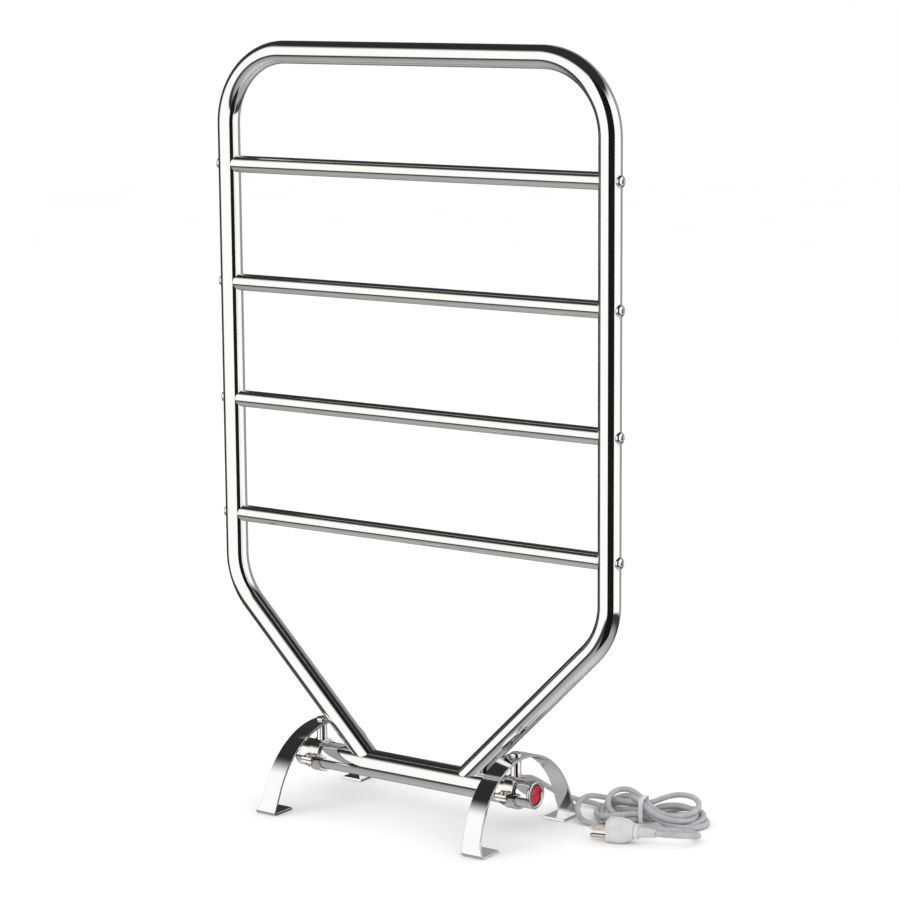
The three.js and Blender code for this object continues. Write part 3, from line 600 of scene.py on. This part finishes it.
def make_floor():
    """A plain pale floor that mirrors don't show."""
    bm = bmesh.new()
    bmesh.ops.create_circle(bm, cap_ends=True, radius=9, segments=96)
    floor = mesh_object("floor", bm)
    nodes = Nodes("floor", Roughness=0.9)
    grain = nodes.noise(3, 2)
    tint = nodes.ramp(grain, (0.2, (0.91, 0.91, 0.91)), (0.8, (0.94, 0.94, 0.935)))
    nodes.join(tint, nodes.shader.inputs["Base Color"])
    floor.data.materials.append(nodes.material)
    floor.visible_glossy = False


def make_lights():
    """Three soft lamps that neither the camera nor mirrors show."""
    for name, place, size, power in (("key", (-1.6, -2.2, 2.6), 1.8, 16),
                                     ("fill", (2.4, -1.2, 2.0), 1.6, 6),
                                     ("rim", (0.6, 2.4, 2.2), 1.5, 6)):
        data = bpy.data.lights.new(name, "AREA")
        data.shape = "SQUARE"
        data.size = size
        data.energy = power
        light = bpy.data.objects.new(name, data)
        light.location = place
        light.rotation_euler = (LIGHTS_AIM - light.location).to_track_quat("-Z", "Y").to_euler()
        light.visible_glossy = False
        light.visible_camera = False
        bpy.context.scene.collection.objects.link(light)


class Studio:
    """A world's node tree with short ways to add nodes. A value may be another node's output."""

    def __init__(self, world):
        world.use_nodes = True
        self.tree = world.node_tree

    def add(self, kind, values=(), **settings):
        node = self.tree.nodes.new(kind)
        for name, value in settings.items():
            setattr(node, name, value)
        for socket, value in values:
            if isinstance(value, bpy.types.NodeSocket):
                self.tree.links.new(value, node.inputs[socket])
            else:
                node.inputs[socket].default_value = value
        return node.outputs

    def maths(self, operation, *values):
        return self.add("ShaderNodeMath", enumerate(values), operation=operation)[0]

    def dot(self, vector, towards):
        values = ((0, vector), (1, towards))
        return self.add("ShaderNodeVectorMath", values, operation="DOT_PRODUCT")["Value"]

    def step(self, value, start, end):
        """Rises smoothly from 0 to 1 between the two values."""
        values = (("Value", value), ("From Min", start), ("From Max", end))
        return self.add("ShaderNodeMapRange", values, interpolation_type="SMOOTHSTEP")[0]

    def mixed(self, factor, first, second):
        """The first colour where the factor is 0, and the second where it is 1."""
        first, second = (colour if isinstance(colour, bpy.types.NodeSocket) else (*colour, 1)
                         for colour in (first, second))
        return self.add("ShaderNodeMix", ((0, factor), (6, first), (7, second)),
                        data_type="RGBA")[2]


def mirrored_studio(nodes):
    """What mirrors show: bright walls in front and beside the rack, dark behind it and above, and
    a grey ground below a dark seam. Angles are in degrees, round from the front and up."""
    direction = nodes.add("ShaderNodeTexCoord")["Generated"]
    degrees = 180 / math.pi
    towards, rightwards = (nodes.dot(direction, way) for way in (STUDIO_FRONT, STUDIO_RIGHT))
    around = nodes.maths("MULTIPLY", nodes.maths("ARCTAN2", rightwards, towards), degrees)
    height = nodes.dot(direction, (0, 0, 1))
    up = nodes.maths("MULTIPLY", nodes.maths("ARCSINE", height), degrees)

    shade = nodes.mixed(nodes.step(around, 104, 112), (1.15, 1.15, 1.1), (0.34, 0.34, 0.35))
    for value, start, end, colour in ((around, -100, -114, (0.04, 0.04, 0.04)),
                                      (up, 32, 48, (0.03, 0.028, 0.028)),
                                      (up, -17, -21, (0.05, 0.05, 0.048)),
                                      (up, -26, -42, (0.42, 0.42, 0.41)),
                                      (up, -46, -76, (0.68, 0.67, 0.71))):
        shade = nodes.mixed(nodes.step(value, start, end), shade, colour)
    return shade


def make_world():
    """White for the camera and for matt surfaces, and a studio of its own for mirrors."""
    world = bpy.data.worlds.new("studio")
    bpy.context.scene.world = world
    nodes = Studio(world)
    rays = nodes.add("ShaderNodeLightPath")
    seen = nodes.mixed(rays["Is Glossy Ray"], DIFFUSE_WHITE, mirrored_studio(nodes))
    seen = nodes.mixed(rays["Is Camera Ray"], seen, CAMERA_WHITE)
    nodes.tree.links.new(seen, nodes.tree.nodes["Background"].inputs["Color"])


def make_flag():
    """A black card in front of the rack that only mirrors see, for the dark line down a tube."""
    bm = bmesh.new()
    corners = []
    for lateral, height in ((FLAG_LEFT, FLAG_BOTTOM), (FLAG_RIGHT, FLAG_BOTTOM),
                            (FLAG_RIGHT, FLAG_TOP), (FLAG_LEFT, FLAG_TOP)):
        corners.append(bm.verts.new(STUDIO_FRONT * FLAG_DISTANCE + STUDIO_RIGHT * lateral
                                    + Vector((0, 0, height))))
    bm.faces.new(corners)
    flag = mesh_object("flag", bm)
    nodes = Nodes("flag", Roughness=0.9, Specular_IOR_Level=0.0)
    tint = nodes.ramp(nodes.noise(2), (0.2, (0.006, 0.006, 0.006)), (0.8, (0.012, 0.012, 0.012)))
    nodes.join(tint, nodes.shader.inputs["Base Color"])
    flag.data.materials.append(nodes.material)
    flag.visible_camera = False
    flag.visible_diffuse = False
    flag.visible_shadow = False
    flag.visible_transmission = False


make_floor()
make_lights()
make_world()
make_flag()
bpy.context.scene.view_settings.view_transform = "Standard"


# ---- frame tube and crossbars ----


def bent_line(corners, degrees=2):
    """Points along straight runs joined by bends, in the plane y = 0, with their directions."""
    points = [(Vector(corners[0][0]), None)]
    for (before, _), (corner, radius), (after, _) in zip(corners, corners[1:], corners[2:]):
        into = (Vector(corner) - Vector(before)).normalized()
        out = (Vector(after) - Vector(corner)).normalized()
        turn = into.angle(out)
        start = Vector(corner) - into * radius * math.tan(turn / 2)
        inward = (out - into * out.dot(into)).normalized()
        steps = math.ceil(math.degrees(turn) / degrees)
        for step in range(steps + 1):
            angle = turn * step / steps
            place = start + into * radius * math.sin(angle)
            place += inward * radius * (1 - math.cos(angle))
            points.append((place, into * math.cos(angle) + inward * math.sin(angle)))
    points.append((Vector(corners[-1][0]), None))
    points[0] = (points[0][0], (points[1][0] - points[0][0]).normalized())
    points[-1] = (points[-1][0], (points[-1][0] - points[-2][0]).normalized())
    return points


def make_frame_tube(sides=72):
    """One tube, bent at four corners, whose ends are notched to sit on the heater."""
    corner_z = HEATER_Z + (HALF_SPAN - LEG_FOOT_X) * math.tan(LEG_ANGLE)
    line = bent_line([
        ((-LEG_FOOT_X, 0, HEATER_Z), 0), ((-HALF_SPAN, 0, corner_z), LEG_BEND_R),
        ((-HALF_SPAN, 0, TOP_BAR_Z), TOP_BEND_R), ((HALF_SPAN, 0, TOP_BAR_Z), TOP_BEND_R),
        ((HALF_SPAN, 0, corner_z), LEG_BEND_R), ((LEG_FOOT_X, 0, HEATER_Z), 0)])
    saddle = HEATER_R + JOINT_GAP
    rings = []
    for i, (place, heading) in enumerate(line):
        outward = Vector((heading.z, 0, -heading.x))
        ring = []
        for k in range(sides):
            angle = TAU * k / sides
            point = place + outward * FRAME_R * math.cos(angle)
            point.y += FRAME_R * math.sin(angle)
            if i in (0, len(line) - 1):
                top = HEATER_Z + math.sqrt(saddle ** 2 - point.y ** 2)
                point += heading * ((top - point.z) / heading.z)
            ring.append(point)
        rings.append(ring)
    tube = mesh_object("frame_bent_tube", rings_mesh(rings), 60)
    finish_piece(tube, "frame_chrome", "rack", "frame_tube")


def make_crossbar(number, sides=56):
    """A straight tube whose ends are notched to fit the uprights."""
    node = f"crossbar_{number}"
    z = middle(node).z
    saddle = FRAME_R + JOINT_GAP
    rings = []
    for _, side in SIDES:
        ring = []
        for k in range(sides):
            angle = TAU * k / sides
            y = BAR_R * math.cos(angle)
            x = side * (HALF_SPAN - math.sqrt(saddle ** 2 - y ** 2))
            ring.append((x, y, z + BAR_R * math.sin(angle)))
        rings.append(ring)
    bar = mesh_object(f"towel_bar_{number}", rings_mesh(rings), 60)
    finish_piece(bar, "bar_chrome", "rack", node)


SOCKET_DEPTH = 1.6
BAR_SCREW_HEAD = 4.4
BAR_SCREW_SOCKET = 2.0
BOLT_SOCKET = 2.2
CLAMP_SCREW_SOCKET = 1.3


def domed_head(radius, seat, top, socket):
    """Profile of a domed head with a hexagonal socket, from its seat outwards, in millimetres."""
    rise = top - seat
    dome = [(radius, seat), (radius, seat + 0.28 * rise)]
    for radius_share, rise_share in ((0.97, 0.5), (0.9, 0.68), (0.78, 0.84), (0.62, 0.95)):
        dome.append((radius * radius_share, seat + rise * rise_share))
    lip = (socket + 0.5, top)
    return [(0, seat), *dome, lip, (socket, top - 0.1, "hex"),
            (socket, top - SOCKET_DEPTH, "hex"), (0, top - SOCKET_DEPTH - 0.4)]


def make_bar_screws(number):
    for side_name, side in SIDES:
        node = f"bar_screw_{side_name}_{number}"
        low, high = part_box(node)
        radius = (high.z - low.z) / 2 / MM
        face = (high.x if side > 0 else -low.x) / MM
        profile = domed_head(radius, face - BAR_SCREW_HEAD, face, BAR_SCREW_SOCKET)
        screw = turned(f"bar_cap_screw_{side_name}_{number}", profile, "x", (0, 0, 0), 60)
        if side < 0:
            screw.data.transform(Matrix.Rotation(math.pi, 4, "Z"))
        screw.data.transform(Matrix.Translation((0, 0, middle(node).z)))
        finish_piece(screw, "screw_chrome", "rack", node)


# ---- heater and switch ----


EDGE = 0.35  # how far a tube's end is chamfered
HEATER_WALL = 1.3
BARREL_WALL = 2.6
CAP_CORNER = 3.2
BEZEL_BORE = 11.7
BEZEL_PROUD = 0.25  # how far the ring stands out of the barrel
BEZEL_ROLL = 1.6
CUP_BORE = 11.5
CUP_BOTTOM = 2.2
CUP_CORNER = 0.6
ROCKER_R = 10.9
ROCKER_DEPTH = 2.4
ROCKER_VALLEY = 3.0  # how far the middle of the V stands out from the hinge
ROCKER_SOFTEN = 1.2
ROCKER_FILLET = 0.9
ROCKER_TILT = math.radians(8)  # half of the rocker's travel


def on_heater(name, profile, slot, node, sharp=30):
    """A piece turned about the heater's axis."""
    piece = turned(name, profile, "x", (0, 0, HEATER_Z), 96, sharp)
    finish_piece(piece, slot, "rack", node)


def open_tube(wall, left, right):
    """Profile of a tube as wide as the heater, with chamfered ends."""
    radius = HEATER_R / MM
    return [(radius - wall, left), (radius - EDGE, left), (radius, left + EDGE),
            (radius, right - EDGE), (radius - EDGE, right), (radius - wall, right)]


def make_heater():
    """The heated tube and the crowned cap in its left end."""
    tube = open_tube(HEATER_WALL, HEATER_LOW.x / MM, HEATER_HIGH.x / MM)
    on_heater("heated_tube", tube, "heater_chrome", "heater_tube")

    radius = HEATER_R / MM
    left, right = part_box("end_cap_left")[0].x / MM, HEATER_LOW.x / MM
    crown = [(0, left + 0.5), (4, left + 0.45), (radius - 5.2, left + 0.12)]
    corner = arc((radius - CAP_CORNER, left + CAP_CORNER), CAP_CORNER, -math.pi / 2, 0, 10)
    seat = [(radius, right - 0.45), (radius - 0.35, right - 0.1), (0, right - 0.1)]
    on_heater("heater_end_cap", crown + corner + seat, "heater_chrome", "end_cap_left", 45)


def make_switch():
    """The barrel on the heater's right end, its trim ring and the dark cup inside."""
    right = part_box("switch_housing")[1].x / MM
    barrel = open_tube(BARREL_WALL, HEATER_HIGH.x / MM + 0.1, right)
    on_heater("switch_barrel", barrel, "heater_chrome", "switch_housing")

    left, right = (end.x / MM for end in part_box("switch_bezel"))
    rim = HEATER_R / MM + BEZEL_PROUD
    roll = arc((rim - BEZEL_ROLL, right - BEZEL_ROLL), BEZEL_ROLL, 0, math.pi / 2, 8)
    bezel = [(BEZEL_BORE, left), (rim - 0.3, left), (rim, left + 0.3), *roll,
             (BEZEL_BORE + 1.1, right - 0.05), (BEZEL_BORE + 0.4, right - 0.35),
             (BEZEL_BORE, right - 0.9)]
    on_heater("switch_trim_ring", bezel, "heater_chrome", "switch_bezel", 50)

    left, right = (end.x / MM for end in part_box("switch_body"))
    outer = extent("switch_body").y / 2 / MM
    cup = [(0, left), (outer - CUP_CORNER, left), (outer, left + CUP_CORNER), (outer, right),
           (CUP_BORE, right), (CUP_BORE, left + CUP_BOTTOM), (0, left + CUP_BOTTOM)]
    on_heater("switch_cup", cup, "switch_plastic", "switch_body")


def rocker_face(z):
    """How far the V face stands out at a height above its middle, in millimetres."""
    rise = math.sqrt(z * z + ROCKER_SOFTEN ** 2) - ROCKER_SOFTEN
    return ROCKER_VALLEY + math.tan(ROCKER_TILT) * rise


def make_rocker(segments=96, steps=26):
    """A round rocker with a shallow V face; its top half stands proud at rest."""
    pivot = Vector(next(j for j in frame["joints"] if j["name"] == "rocker_tilt")["pos_m"])
    flat = ROCKER_R - ROCKER_FILLET
    levels = [(flat * i / steps, 0.0) for i in range(1, steps + 1)]
    levels += arc((flat, ROCKER_FILLET), ROCKER_FILLET, -math.pi / 2, 0, 8)[1:]
    turns = [(math.cos(TAU * k / segments), math.sin(TAU * k / segments))
             for k in range(segments)]
    rings = [[Vector((rocker_face(radius * s) - drop, radius * c, radius * s)) * MM
              for c, s in turns] for radius, drop in levels]
    rings.append([Vector((-ROCKER_DEPTH, ROCKER_R * c, ROCKER_R * s)) * MM for c, s in turns])
    bm = rings_mesh(rings, closed_ends=False)
    bm.verts.ensure_lookup_table()
    inner, back = bm.verts[:segments], bm.verts[-segments:]
    centre = bm.verts.new((rocker_face(0) * MM, 0, 0))
    for k in range(segments):
        bm.faces.new((centre, inner[k], inner[(k + 1) % segments]))
    bm.faces.new(back)
    rocker = mesh_object("rocker_button", bm, 50)
    rocker.data.transform(Matrix.Translation(pivot) @ Matrix.Rotation(ROCKER_TILT, 4, "Y"))
    finish_piece(rocker, "rocker_red", "rocker", "rocker")


# ---- feet and their clamps ----

HEEL_INNER_R = 0.6 * MM
COLLAR_R = HEATER_R + 3.3 * MM
COLLAR_WIDTH = 14 * MM
COLLAR_EAR = 3 * MM
COLLAR_SPLIT = 0.5 * MM
COLLAR_CLEARANCE = 0.3 * MM
POST_BOTTOM = HEATER_Z / MM + 16  # inside the clamp, before the post is notched to fit it
SHANK_R = 1.9
NUT_R = 3.4  # of the circle inside its hexagon


def foot_line(offset):
    """The foot's face from its crown to the tip of its pad as (y, z), at a distance inside its
    outer face."""
    line = arc((0, FOOT_CROWN - FOOT_ARCH_R), FOOT_ARCH_R - offset, math.pi / 2,
               math.pi / 2 - FOOT_ARCH_ANGLE, 48)
    down = (math.cos(FOOT_ARCH_ANGLE), -math.sin(FOOT_ARCH_ANGLE))
    inward = (down[1], -down[0])
    turn = math.pi - FOOT_ARCH_ANGLE
    bend = HEEL_INNER_R + FOOT_THICKNESS - offset
    y, z = line[-1]
    to_corner = (z - offset) / -down[1]
    straight = to_corner - bend * math.tan(turn / 2)
    steps = 8
    for i in range(1, steps):
        line.append((y + down[0] * straight * i / steps, z + down[1] * straight * i / steps))
    centre = (y + down[0] * straight + inward[0] * bend, z + down[1] * straight + inward[1] * bend)
    for i in range(11):
        c, s = math.cos(turn * i / 10), math.sin(turn * i / 10)
        line.append((centre[0] + bend * (down[0] * s - inward[0] * c),
                     centre[1] + bend * (down[1] * s - inward[1] * c)))
    line.append((FOOT_HEEL_Y - FOOT_PAD_LENGTH, offset))
    return line


def make_foot(side_name, side):
    """A flat strip bent into an arch, whose ends turn in under it and widen at the floor."""
    half = list(zip(foot_line(0), foot_line(FOOT_THICKNESS)))
    mirrored = [tuple((-y, z) for y, z in pair) for pair in reversed(half[1:])]
    rings = []
    for outer, inner in mirrored + half:
        ring = []
        for (y, z), edge in ((outer, -1), (outer, 1), (inner, 1), (inner, -1)):
            flare = FOOT_FLARE * max(0.0, 1 - z / FOOT_FLARE_HEIGHT) if edge > 0 else 0
            x = FOOT_X + FOOT_SPLAY * (1 - z / FOOT_CROWN) + edge * FOOT_WIDTH / 2 + flare
            ring.append((side * x, y, z))
        rings.append(ring)
    foot = bevelled(mesh_object(f"foot_strip_{side_name}", rings_mesh(rings)), 0.5 * MM)
    finish_piece(foot, "foot_chrome", "rack", f"foot_arch_{side_name}")


def make_collar(side_name, half_name, up):
    """Half of the clamp round the heater, with an ear to the front and one to the back."""
    ear_reach = extent(f"collar_{half_name}_{side_name}").y / 2
    bore = HEATER_R + COLLAR_CLEARANCE
    ear_top = COLLAR_SPLIT + COLLAR_EAR
    start = math.asin(COLLAR_SPLIT / bore)
    shoulder = math.asin(ear_top / COLLAR_R)
    outline = arc((0, 0), bore, start, math.pi - start, 40)
    outline += [(-ear_reach, COLLAR_SPLIT), (-ear_reach, ear_top)]
    outline += arc((0, 0), COLLAR_R, math.pi - shoulder, shoulder, 40)
    outline += [(ear_reach, ear_top), (ear_reach, COLLAR_SPLIT)]
    x = middle(f"collar_{half_name}_{side_name}").x
    placed = [(y, HEATER_Z + up * z) for y, z in outline]
    low, high = x - COLLAR_WIDTH / 2, x + COLLAR_WIDTH / 2
    collar = bevelled(slab(f"clamp_{half_name}_{side_name}", placed, low, high), 0.45 * MM)
    finish_piece(collar, "clamp_chrome", "rack", f"collar_{half_name}_{side_name}")


def seated(obj, axis, radius, below):
    """Notches a turned piece's lower end to fit a round one that lies along x."""
    for vertex in obj.data.vertices:
        place = vertex.co
        if axis == "z" and place.z < below:
            place.z = HEATER_Z + math.sqrt(radius ** 2 - place.y ** 2)
        if axis == "y" and place.y < below:
            place.y = math.sqrt(radius ** 2 - (place.z - HEATER_Z) ** 2)
    return obj


def make_post(side_name):
    """The short post between the clamp and the foot's crown, and the bolt above it."""
    node = f"foot_post_{side_name}"
    radius, top = extent(node).y / 2 / MM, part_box(node)[1].z / MM
    centre = (middle(node).x, 0, 0)
    post = turned(f"clamp_post_{side_name}", [
        (0, POST_BOTTOM), (radius, POST_BOTTOM), (radius, top - 0.5), (radius - 0.5, top),
        (0, top)], "z", centre, 64)
    seated(post, "z", COLLAR_R + JOINT_GAP, (POST_BOTTOM + 1) * MM)
    finish_piece(post, "clamp_chrome", "rack", node)

    node = f"foot_bolt_{side_name}"
    radius, top = extent(node).y / 2 / MM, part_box(node)[1].z / MM
    head = domed_head(radius, FOOT_CROWN / MM + 0.1, top, BOLT_SOCKET)
    bolt = turned(f"foot_cap_bolt_{side_name}", head, "z", centre, 64)
    finish_piece(bolt, "clamp_chrome", "rack", node)


def make_collar_fasteners(side_name, end):
    """A screw down through two ears and its nut below them."""
    node = f"collar_screw_{end}_{side_name}"
    bottom, top = (corner.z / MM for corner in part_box(node))
    seat = (HEATER_Z + COLLAR_SPLIT + COLLAR_EAR) / MM + 0.1
    centre = (middle(node).x, middle(node).y, 0)
    head = domed_head(extent(node).x / 2 / MM, seat, top, CLAMP_SCREW_SOCKET)
    screw = turned(f"clamp_screw_{end}_{side_name}", [
        (0, bottom), (SHANK_R - 0.4, bottom), (SHANK_R, bottom + 0.5), (SHANK_R, seat),
        *head[1:]], "z", centre, 48)
    finish_piece(screw, "clamp_fastener", "rack", node)

    node = f"collar_nut_{end}_{side_name}"
    bottom, top = (corner.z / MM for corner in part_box(node))
    bore = SHANK_R + 0.1
    nut = turned(f"clamp_nut_{end}_{side_name}", [
        (bore, bottom + 0.4), (bore + 0.4, bottom), (NUT_R - 0.1, bottom),
        (NUT_R, bottom + 0.5, "hex"), (NUT_R, top - 0.5, "hex"), (NUT_R - 0.1, top),
        (bore, top)], "z", centre, 48)
    finish_piece(nut, "clamp_fastener", "rack", node)


# ---- what holds the cord, and its plug ----


RELIEF_FLANGE_R = 6.5
RELIEF_BASE = 13.0  # inside the heater, before the sleeve is notched to fit it
RELIEF_FLANGE_END = 18.2
WAIST_LENGTH = 3 * MM  # of the hank, to each side of the tie, that the tie goes round
WAIST_REACH = 12 * MM
BAND_HALF_WIDTH = 2.5 * MM


def ribbed(start_radius, end_radius, start, end, rib=2.8, groove=0.8):
    """Profile points of a tapered sleeve with grooves round it, from start to end."""
    count = max(2, round((end - start) / rib))
    points = []
    for i in range(count):
        share = i / count
        radius = start_radius + (end_radius - start_radius) * share
        at = start + (end - start) * share
        long = (end - start) / count
        points += [(radius, at), (radius, at + 0.55 * long), (radius - groove, at + 0.62 * long),
                   (radius - groove, at + 0.93 * long)]
    return points + [(end_radius, end - 0.3), (end_radius - 0.3, end)]


def make_strain_relief():
    """The ribbed sleeve where the cord leaves the heater."""
    centre = (middle("cord_strain_relief").x, 0, HEATER_Z)
    rim, end = RELIEF_FLANGE_END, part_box("cord_strain_relief")[1].y / MM
    relief = turned("heater_cord_sleeve", [
        (0, RELIEF_BASE), (RELIEF_FLANGE_R, RELIEF_BASE), (RELIEF_FLANGE_R, rim - 0.5),
        (RELIEF_FLANGE_R - 0.5, rim), (5.3, rim), *ribbed(5.0, 4.0, rim + 0.6, end),
        (0, end)], "y", centre, 64)
    seated(relief, "y", HEATER_R + JOINT_GAP, (RELIEF_BASE + 1) * MM)
    finish_piece(relief, "relief_pvc", "rack", "cord_strain_relief")
    return relief


def rounded_section(half_across, half_up, corner, steps=8):
    """A rounded rectangle as (across, up)."""
    points = []
    for quarter in range(4):
        sx, sy = ((1, 1), (-1, 1), (-1, -1), (1, -1))[quarter]
        centre = (sx * (half_across - corner), sy * (half_up - corner))
        points += arc(centre, corner, math.pi / 2 * quarter, math.pi / 2 * (quarter + 1), steps)
    return points


def make_tie():
    """A soft band round the hank's waist."""
    waist = [to_hank(p) for p in CORD_LINE]
    waist = [p for p in waist if abs(p[0]) < WAIST_LENGTH and abs(p[1]) < WAIST_REACH]
    reach = max(abs(p[1]) for p in waist) + CORD_R
    low, high = min(p[2] for p in waist) - CORD_R, max(p[2] for p in waist) + CORD_R
    lift, half_up = (low + high) / 2, (high - low) / 2
    thickness = BAND_THICKNESS * MM
    inner = rounded_section(reach, half_up, CORD_R)
    outer = rounded_section(reach + thickness, half_up + thickness, CORD_R + thickness)
    half_width = BAND_HALF_WIDTH
    bm = bmesh.new()
    loops = []
    for outline, along in ((inner, -half_width), (outer, -half_width), (outer, half_width),
                           (inner, half_width)):
        loops.append([bm.verts.new(beside_hank(along, a, up + lift)) for a, up in outline])
    for first, second in zip(loops, loops[1:] + loops[:1]):
        for i in range(len(first)):
            j = (i + 1) % len(first)
            bm.faces.new((first[i], first[j], second[j], second[i]))
    tie = bevelled(mesh_object("cord_band", bm), 0.4 * MM)
    finish_piece(tie, "cord_tie", "rack", "cord_tie")
    return tie


PLUG_ACROSS = -81 * MM
PLUG_UP = 13 * MM
PLUG_SLEEVE_START = 13.2
PLUG_SLEEVE_END = 37.3
PLUG_COLLAR_R = 8.2
PLUG_COLLAR_END = 17.8
BLADE_UP = 15.5 * MM
BLADE_OFFSET = 6.35 * MM
BLADE_ROOT = -17.2
BLADE_TIP = -34.3
BLADE_HALF_HEIGHT = 3.15
BLADE_HALF_THICKNESS = 0.75
BLADE_HOLE = -30.6
BLADE_HOLE_R = 1.6
PIN_UP = 4.6 * MM
PIN_R = 2.4
PIN_TIP = -37.3
PLUG_STATIONS = (  # along, half its width, half its height, corner
    (-17.0, 10.6, 11.4, 4.6), (-16.6, 11.3, 12.1, 5.2), (-15.6, 11.9, 12.7, 5.8),
    (-9.0, 12.0, 12.8, 6.0), (-2.0, 12.0, 12.8, 6.0), (1.5, 11.8, 12.3, 6.0),
    (6.0, 11.0, 11.0, 6.4), (10.5, 9.8, 9.6, 7.0), (12.4, 9.0, 8.9, 7.4), (13.0, 8.2, 8.1, 7.6))


def plug_turned(name, profile, up=PLUG_UP, segments=64):
    """A piece turned about a line along the plug, at a height."""
    piece = turned(name, profile, "x", (0, 0, 0), segments)
    piece.data.transform(Matrix.Translation(beside_hank(0, PLUG_ACROSS, up))
                         @ Matrix.Rotation(HANK_TURN, 4, "Z"))
    return piece


def make_blade(number, side, steps=48):
    """A flat blade with a round hole through it near its tip."""
    outline, hole = [], []
    for i in range(steps):
        c, s = math.cos(TAU * i / steps), math.sin(TAU * i / steps)
        reaches = [BLADE_HALF_HEIGHT / abs(s)] if abs(s) > 1e-6 else []
        if abs(c) > 1e-6:
            reaches.append(((BLADE_ROOT if c > 0 else BLADE_TIP) - BLADE_HOLE) / c)
        reach = min(reaches)
        outline.append((BLADE_HOLE + reach * c, reach * s))
        hole.append((BLADE_HOLE + BLADE_HOLE_R * c, BLADE_HOLE_R * s))
    bm = bmesh.new()
    loops = []
    for ring, half in ((hole, -1), (outline, -1), (outline, 1), (hole, 1)):
        across = PLUG_ACROSS + side * BLADE_OFFSET + half * BLADE_HALF_THICKNESS * MM
        loops.append([bm.verts.new(beside_hank(a * MM, across, BLADE_UP + u * MM))
                      for a, u in ring])
    for first, second in zip(loops, loops[1:] + loops[:1]):
        for i in range(steps):
            j = (i + 1) % steps
            bm.faces.new((first[i], first[j], second[j], second[i]))
    blade = bevelled(mesh_object(f"mains_blade_{number}", bm), 0.2 * MM, 2)
    return finish_piece(blade, "plug_brass", "rack", f"plug_blade_{number}")


def make_plug_body():
    rings = []
    for along, half_across, half_up, corner in PLUG_STATIONS:
        section = rounded_section(half_across, half_up, corner)
        rings.append([beside_hank(along * MM, PLUG_ACROSS + a * MM, PLUG_UP + u * MM)
                      for a, u in section])
    body = mesh_object("mains_plug", rings_mesh(rings), 35)
    return finish_piece(body, "plug_pvc", "rack", "plug_body")


def make_plug_sleeve():
    """The collar behind the plug's body and the ribbed sleeve that the cord goes into."""
    start, end, rim, radius = PLUG_SLEEVE_START, PLUG_SLEEVE_END, PLUG_COLLAR_END, PLUG_COLLAR_R
    sleeve = plug_turned("mains_plug_sleeve", [
        (0, start), (radius - 0.5, start), (radius, start + 0.5), (radius, rim - 0.5),
        (radius - 0.5, rim), (6.0, rim), *ribbed(6.1, 4.2, rim + 0.6, end), (0, end)])
    return finish_piece(sleeve, "plug_pvc", "rack", "plug_strain_relief")


def make_ground_pin():
    pin = plug_turned("mains_ground_pin", [
        (0, PIN_TIP), (PIN_R / 2, PIN_TIP + 0.1), (PIN_R - 0.4, PIN_TIP + 0.7),
        (PIN_R, PIN_TIP + 1.9), (PIN_R, BLADE_ROOT), (0, BLADE_ROOT)], PIN_UP, 40)
    return finish_piece(pin, "plug_brass", "rack", "plug_ground_pin")


def make_plug():
    return [make_plug_body(), make_plug_sleeve(), make_blade(1, -1), make_blade(2, 1),
            make_ground_pin()]


# ---- all of it ----

make_frame_tube()
for number in range(1, 5):
    make_crossbar(number)
    make_bar_screws(number)
make_heater()
make_switch()
make_rocker()
for side_name, side in SIDES:
    make_foot(side_name, side)
    make_collar(side_name, "upper", 1)
    make_collar(side_name, "lower", -1)
    make_post(side_name)
    for end in ("front", "back"):
        make_collar_fasteners(side_name, end)
strain_relief = make_strain_relief()
cord_tie = make_tie()
plug_pieces = make_plug()

for subpart in frame["record"]["subparts"]:
    node = frame["nodes"][subpart["node"]]
    node.data.materials.clear()
    node.data.materials.append(MATERIALS[subpart["material_slot"]])
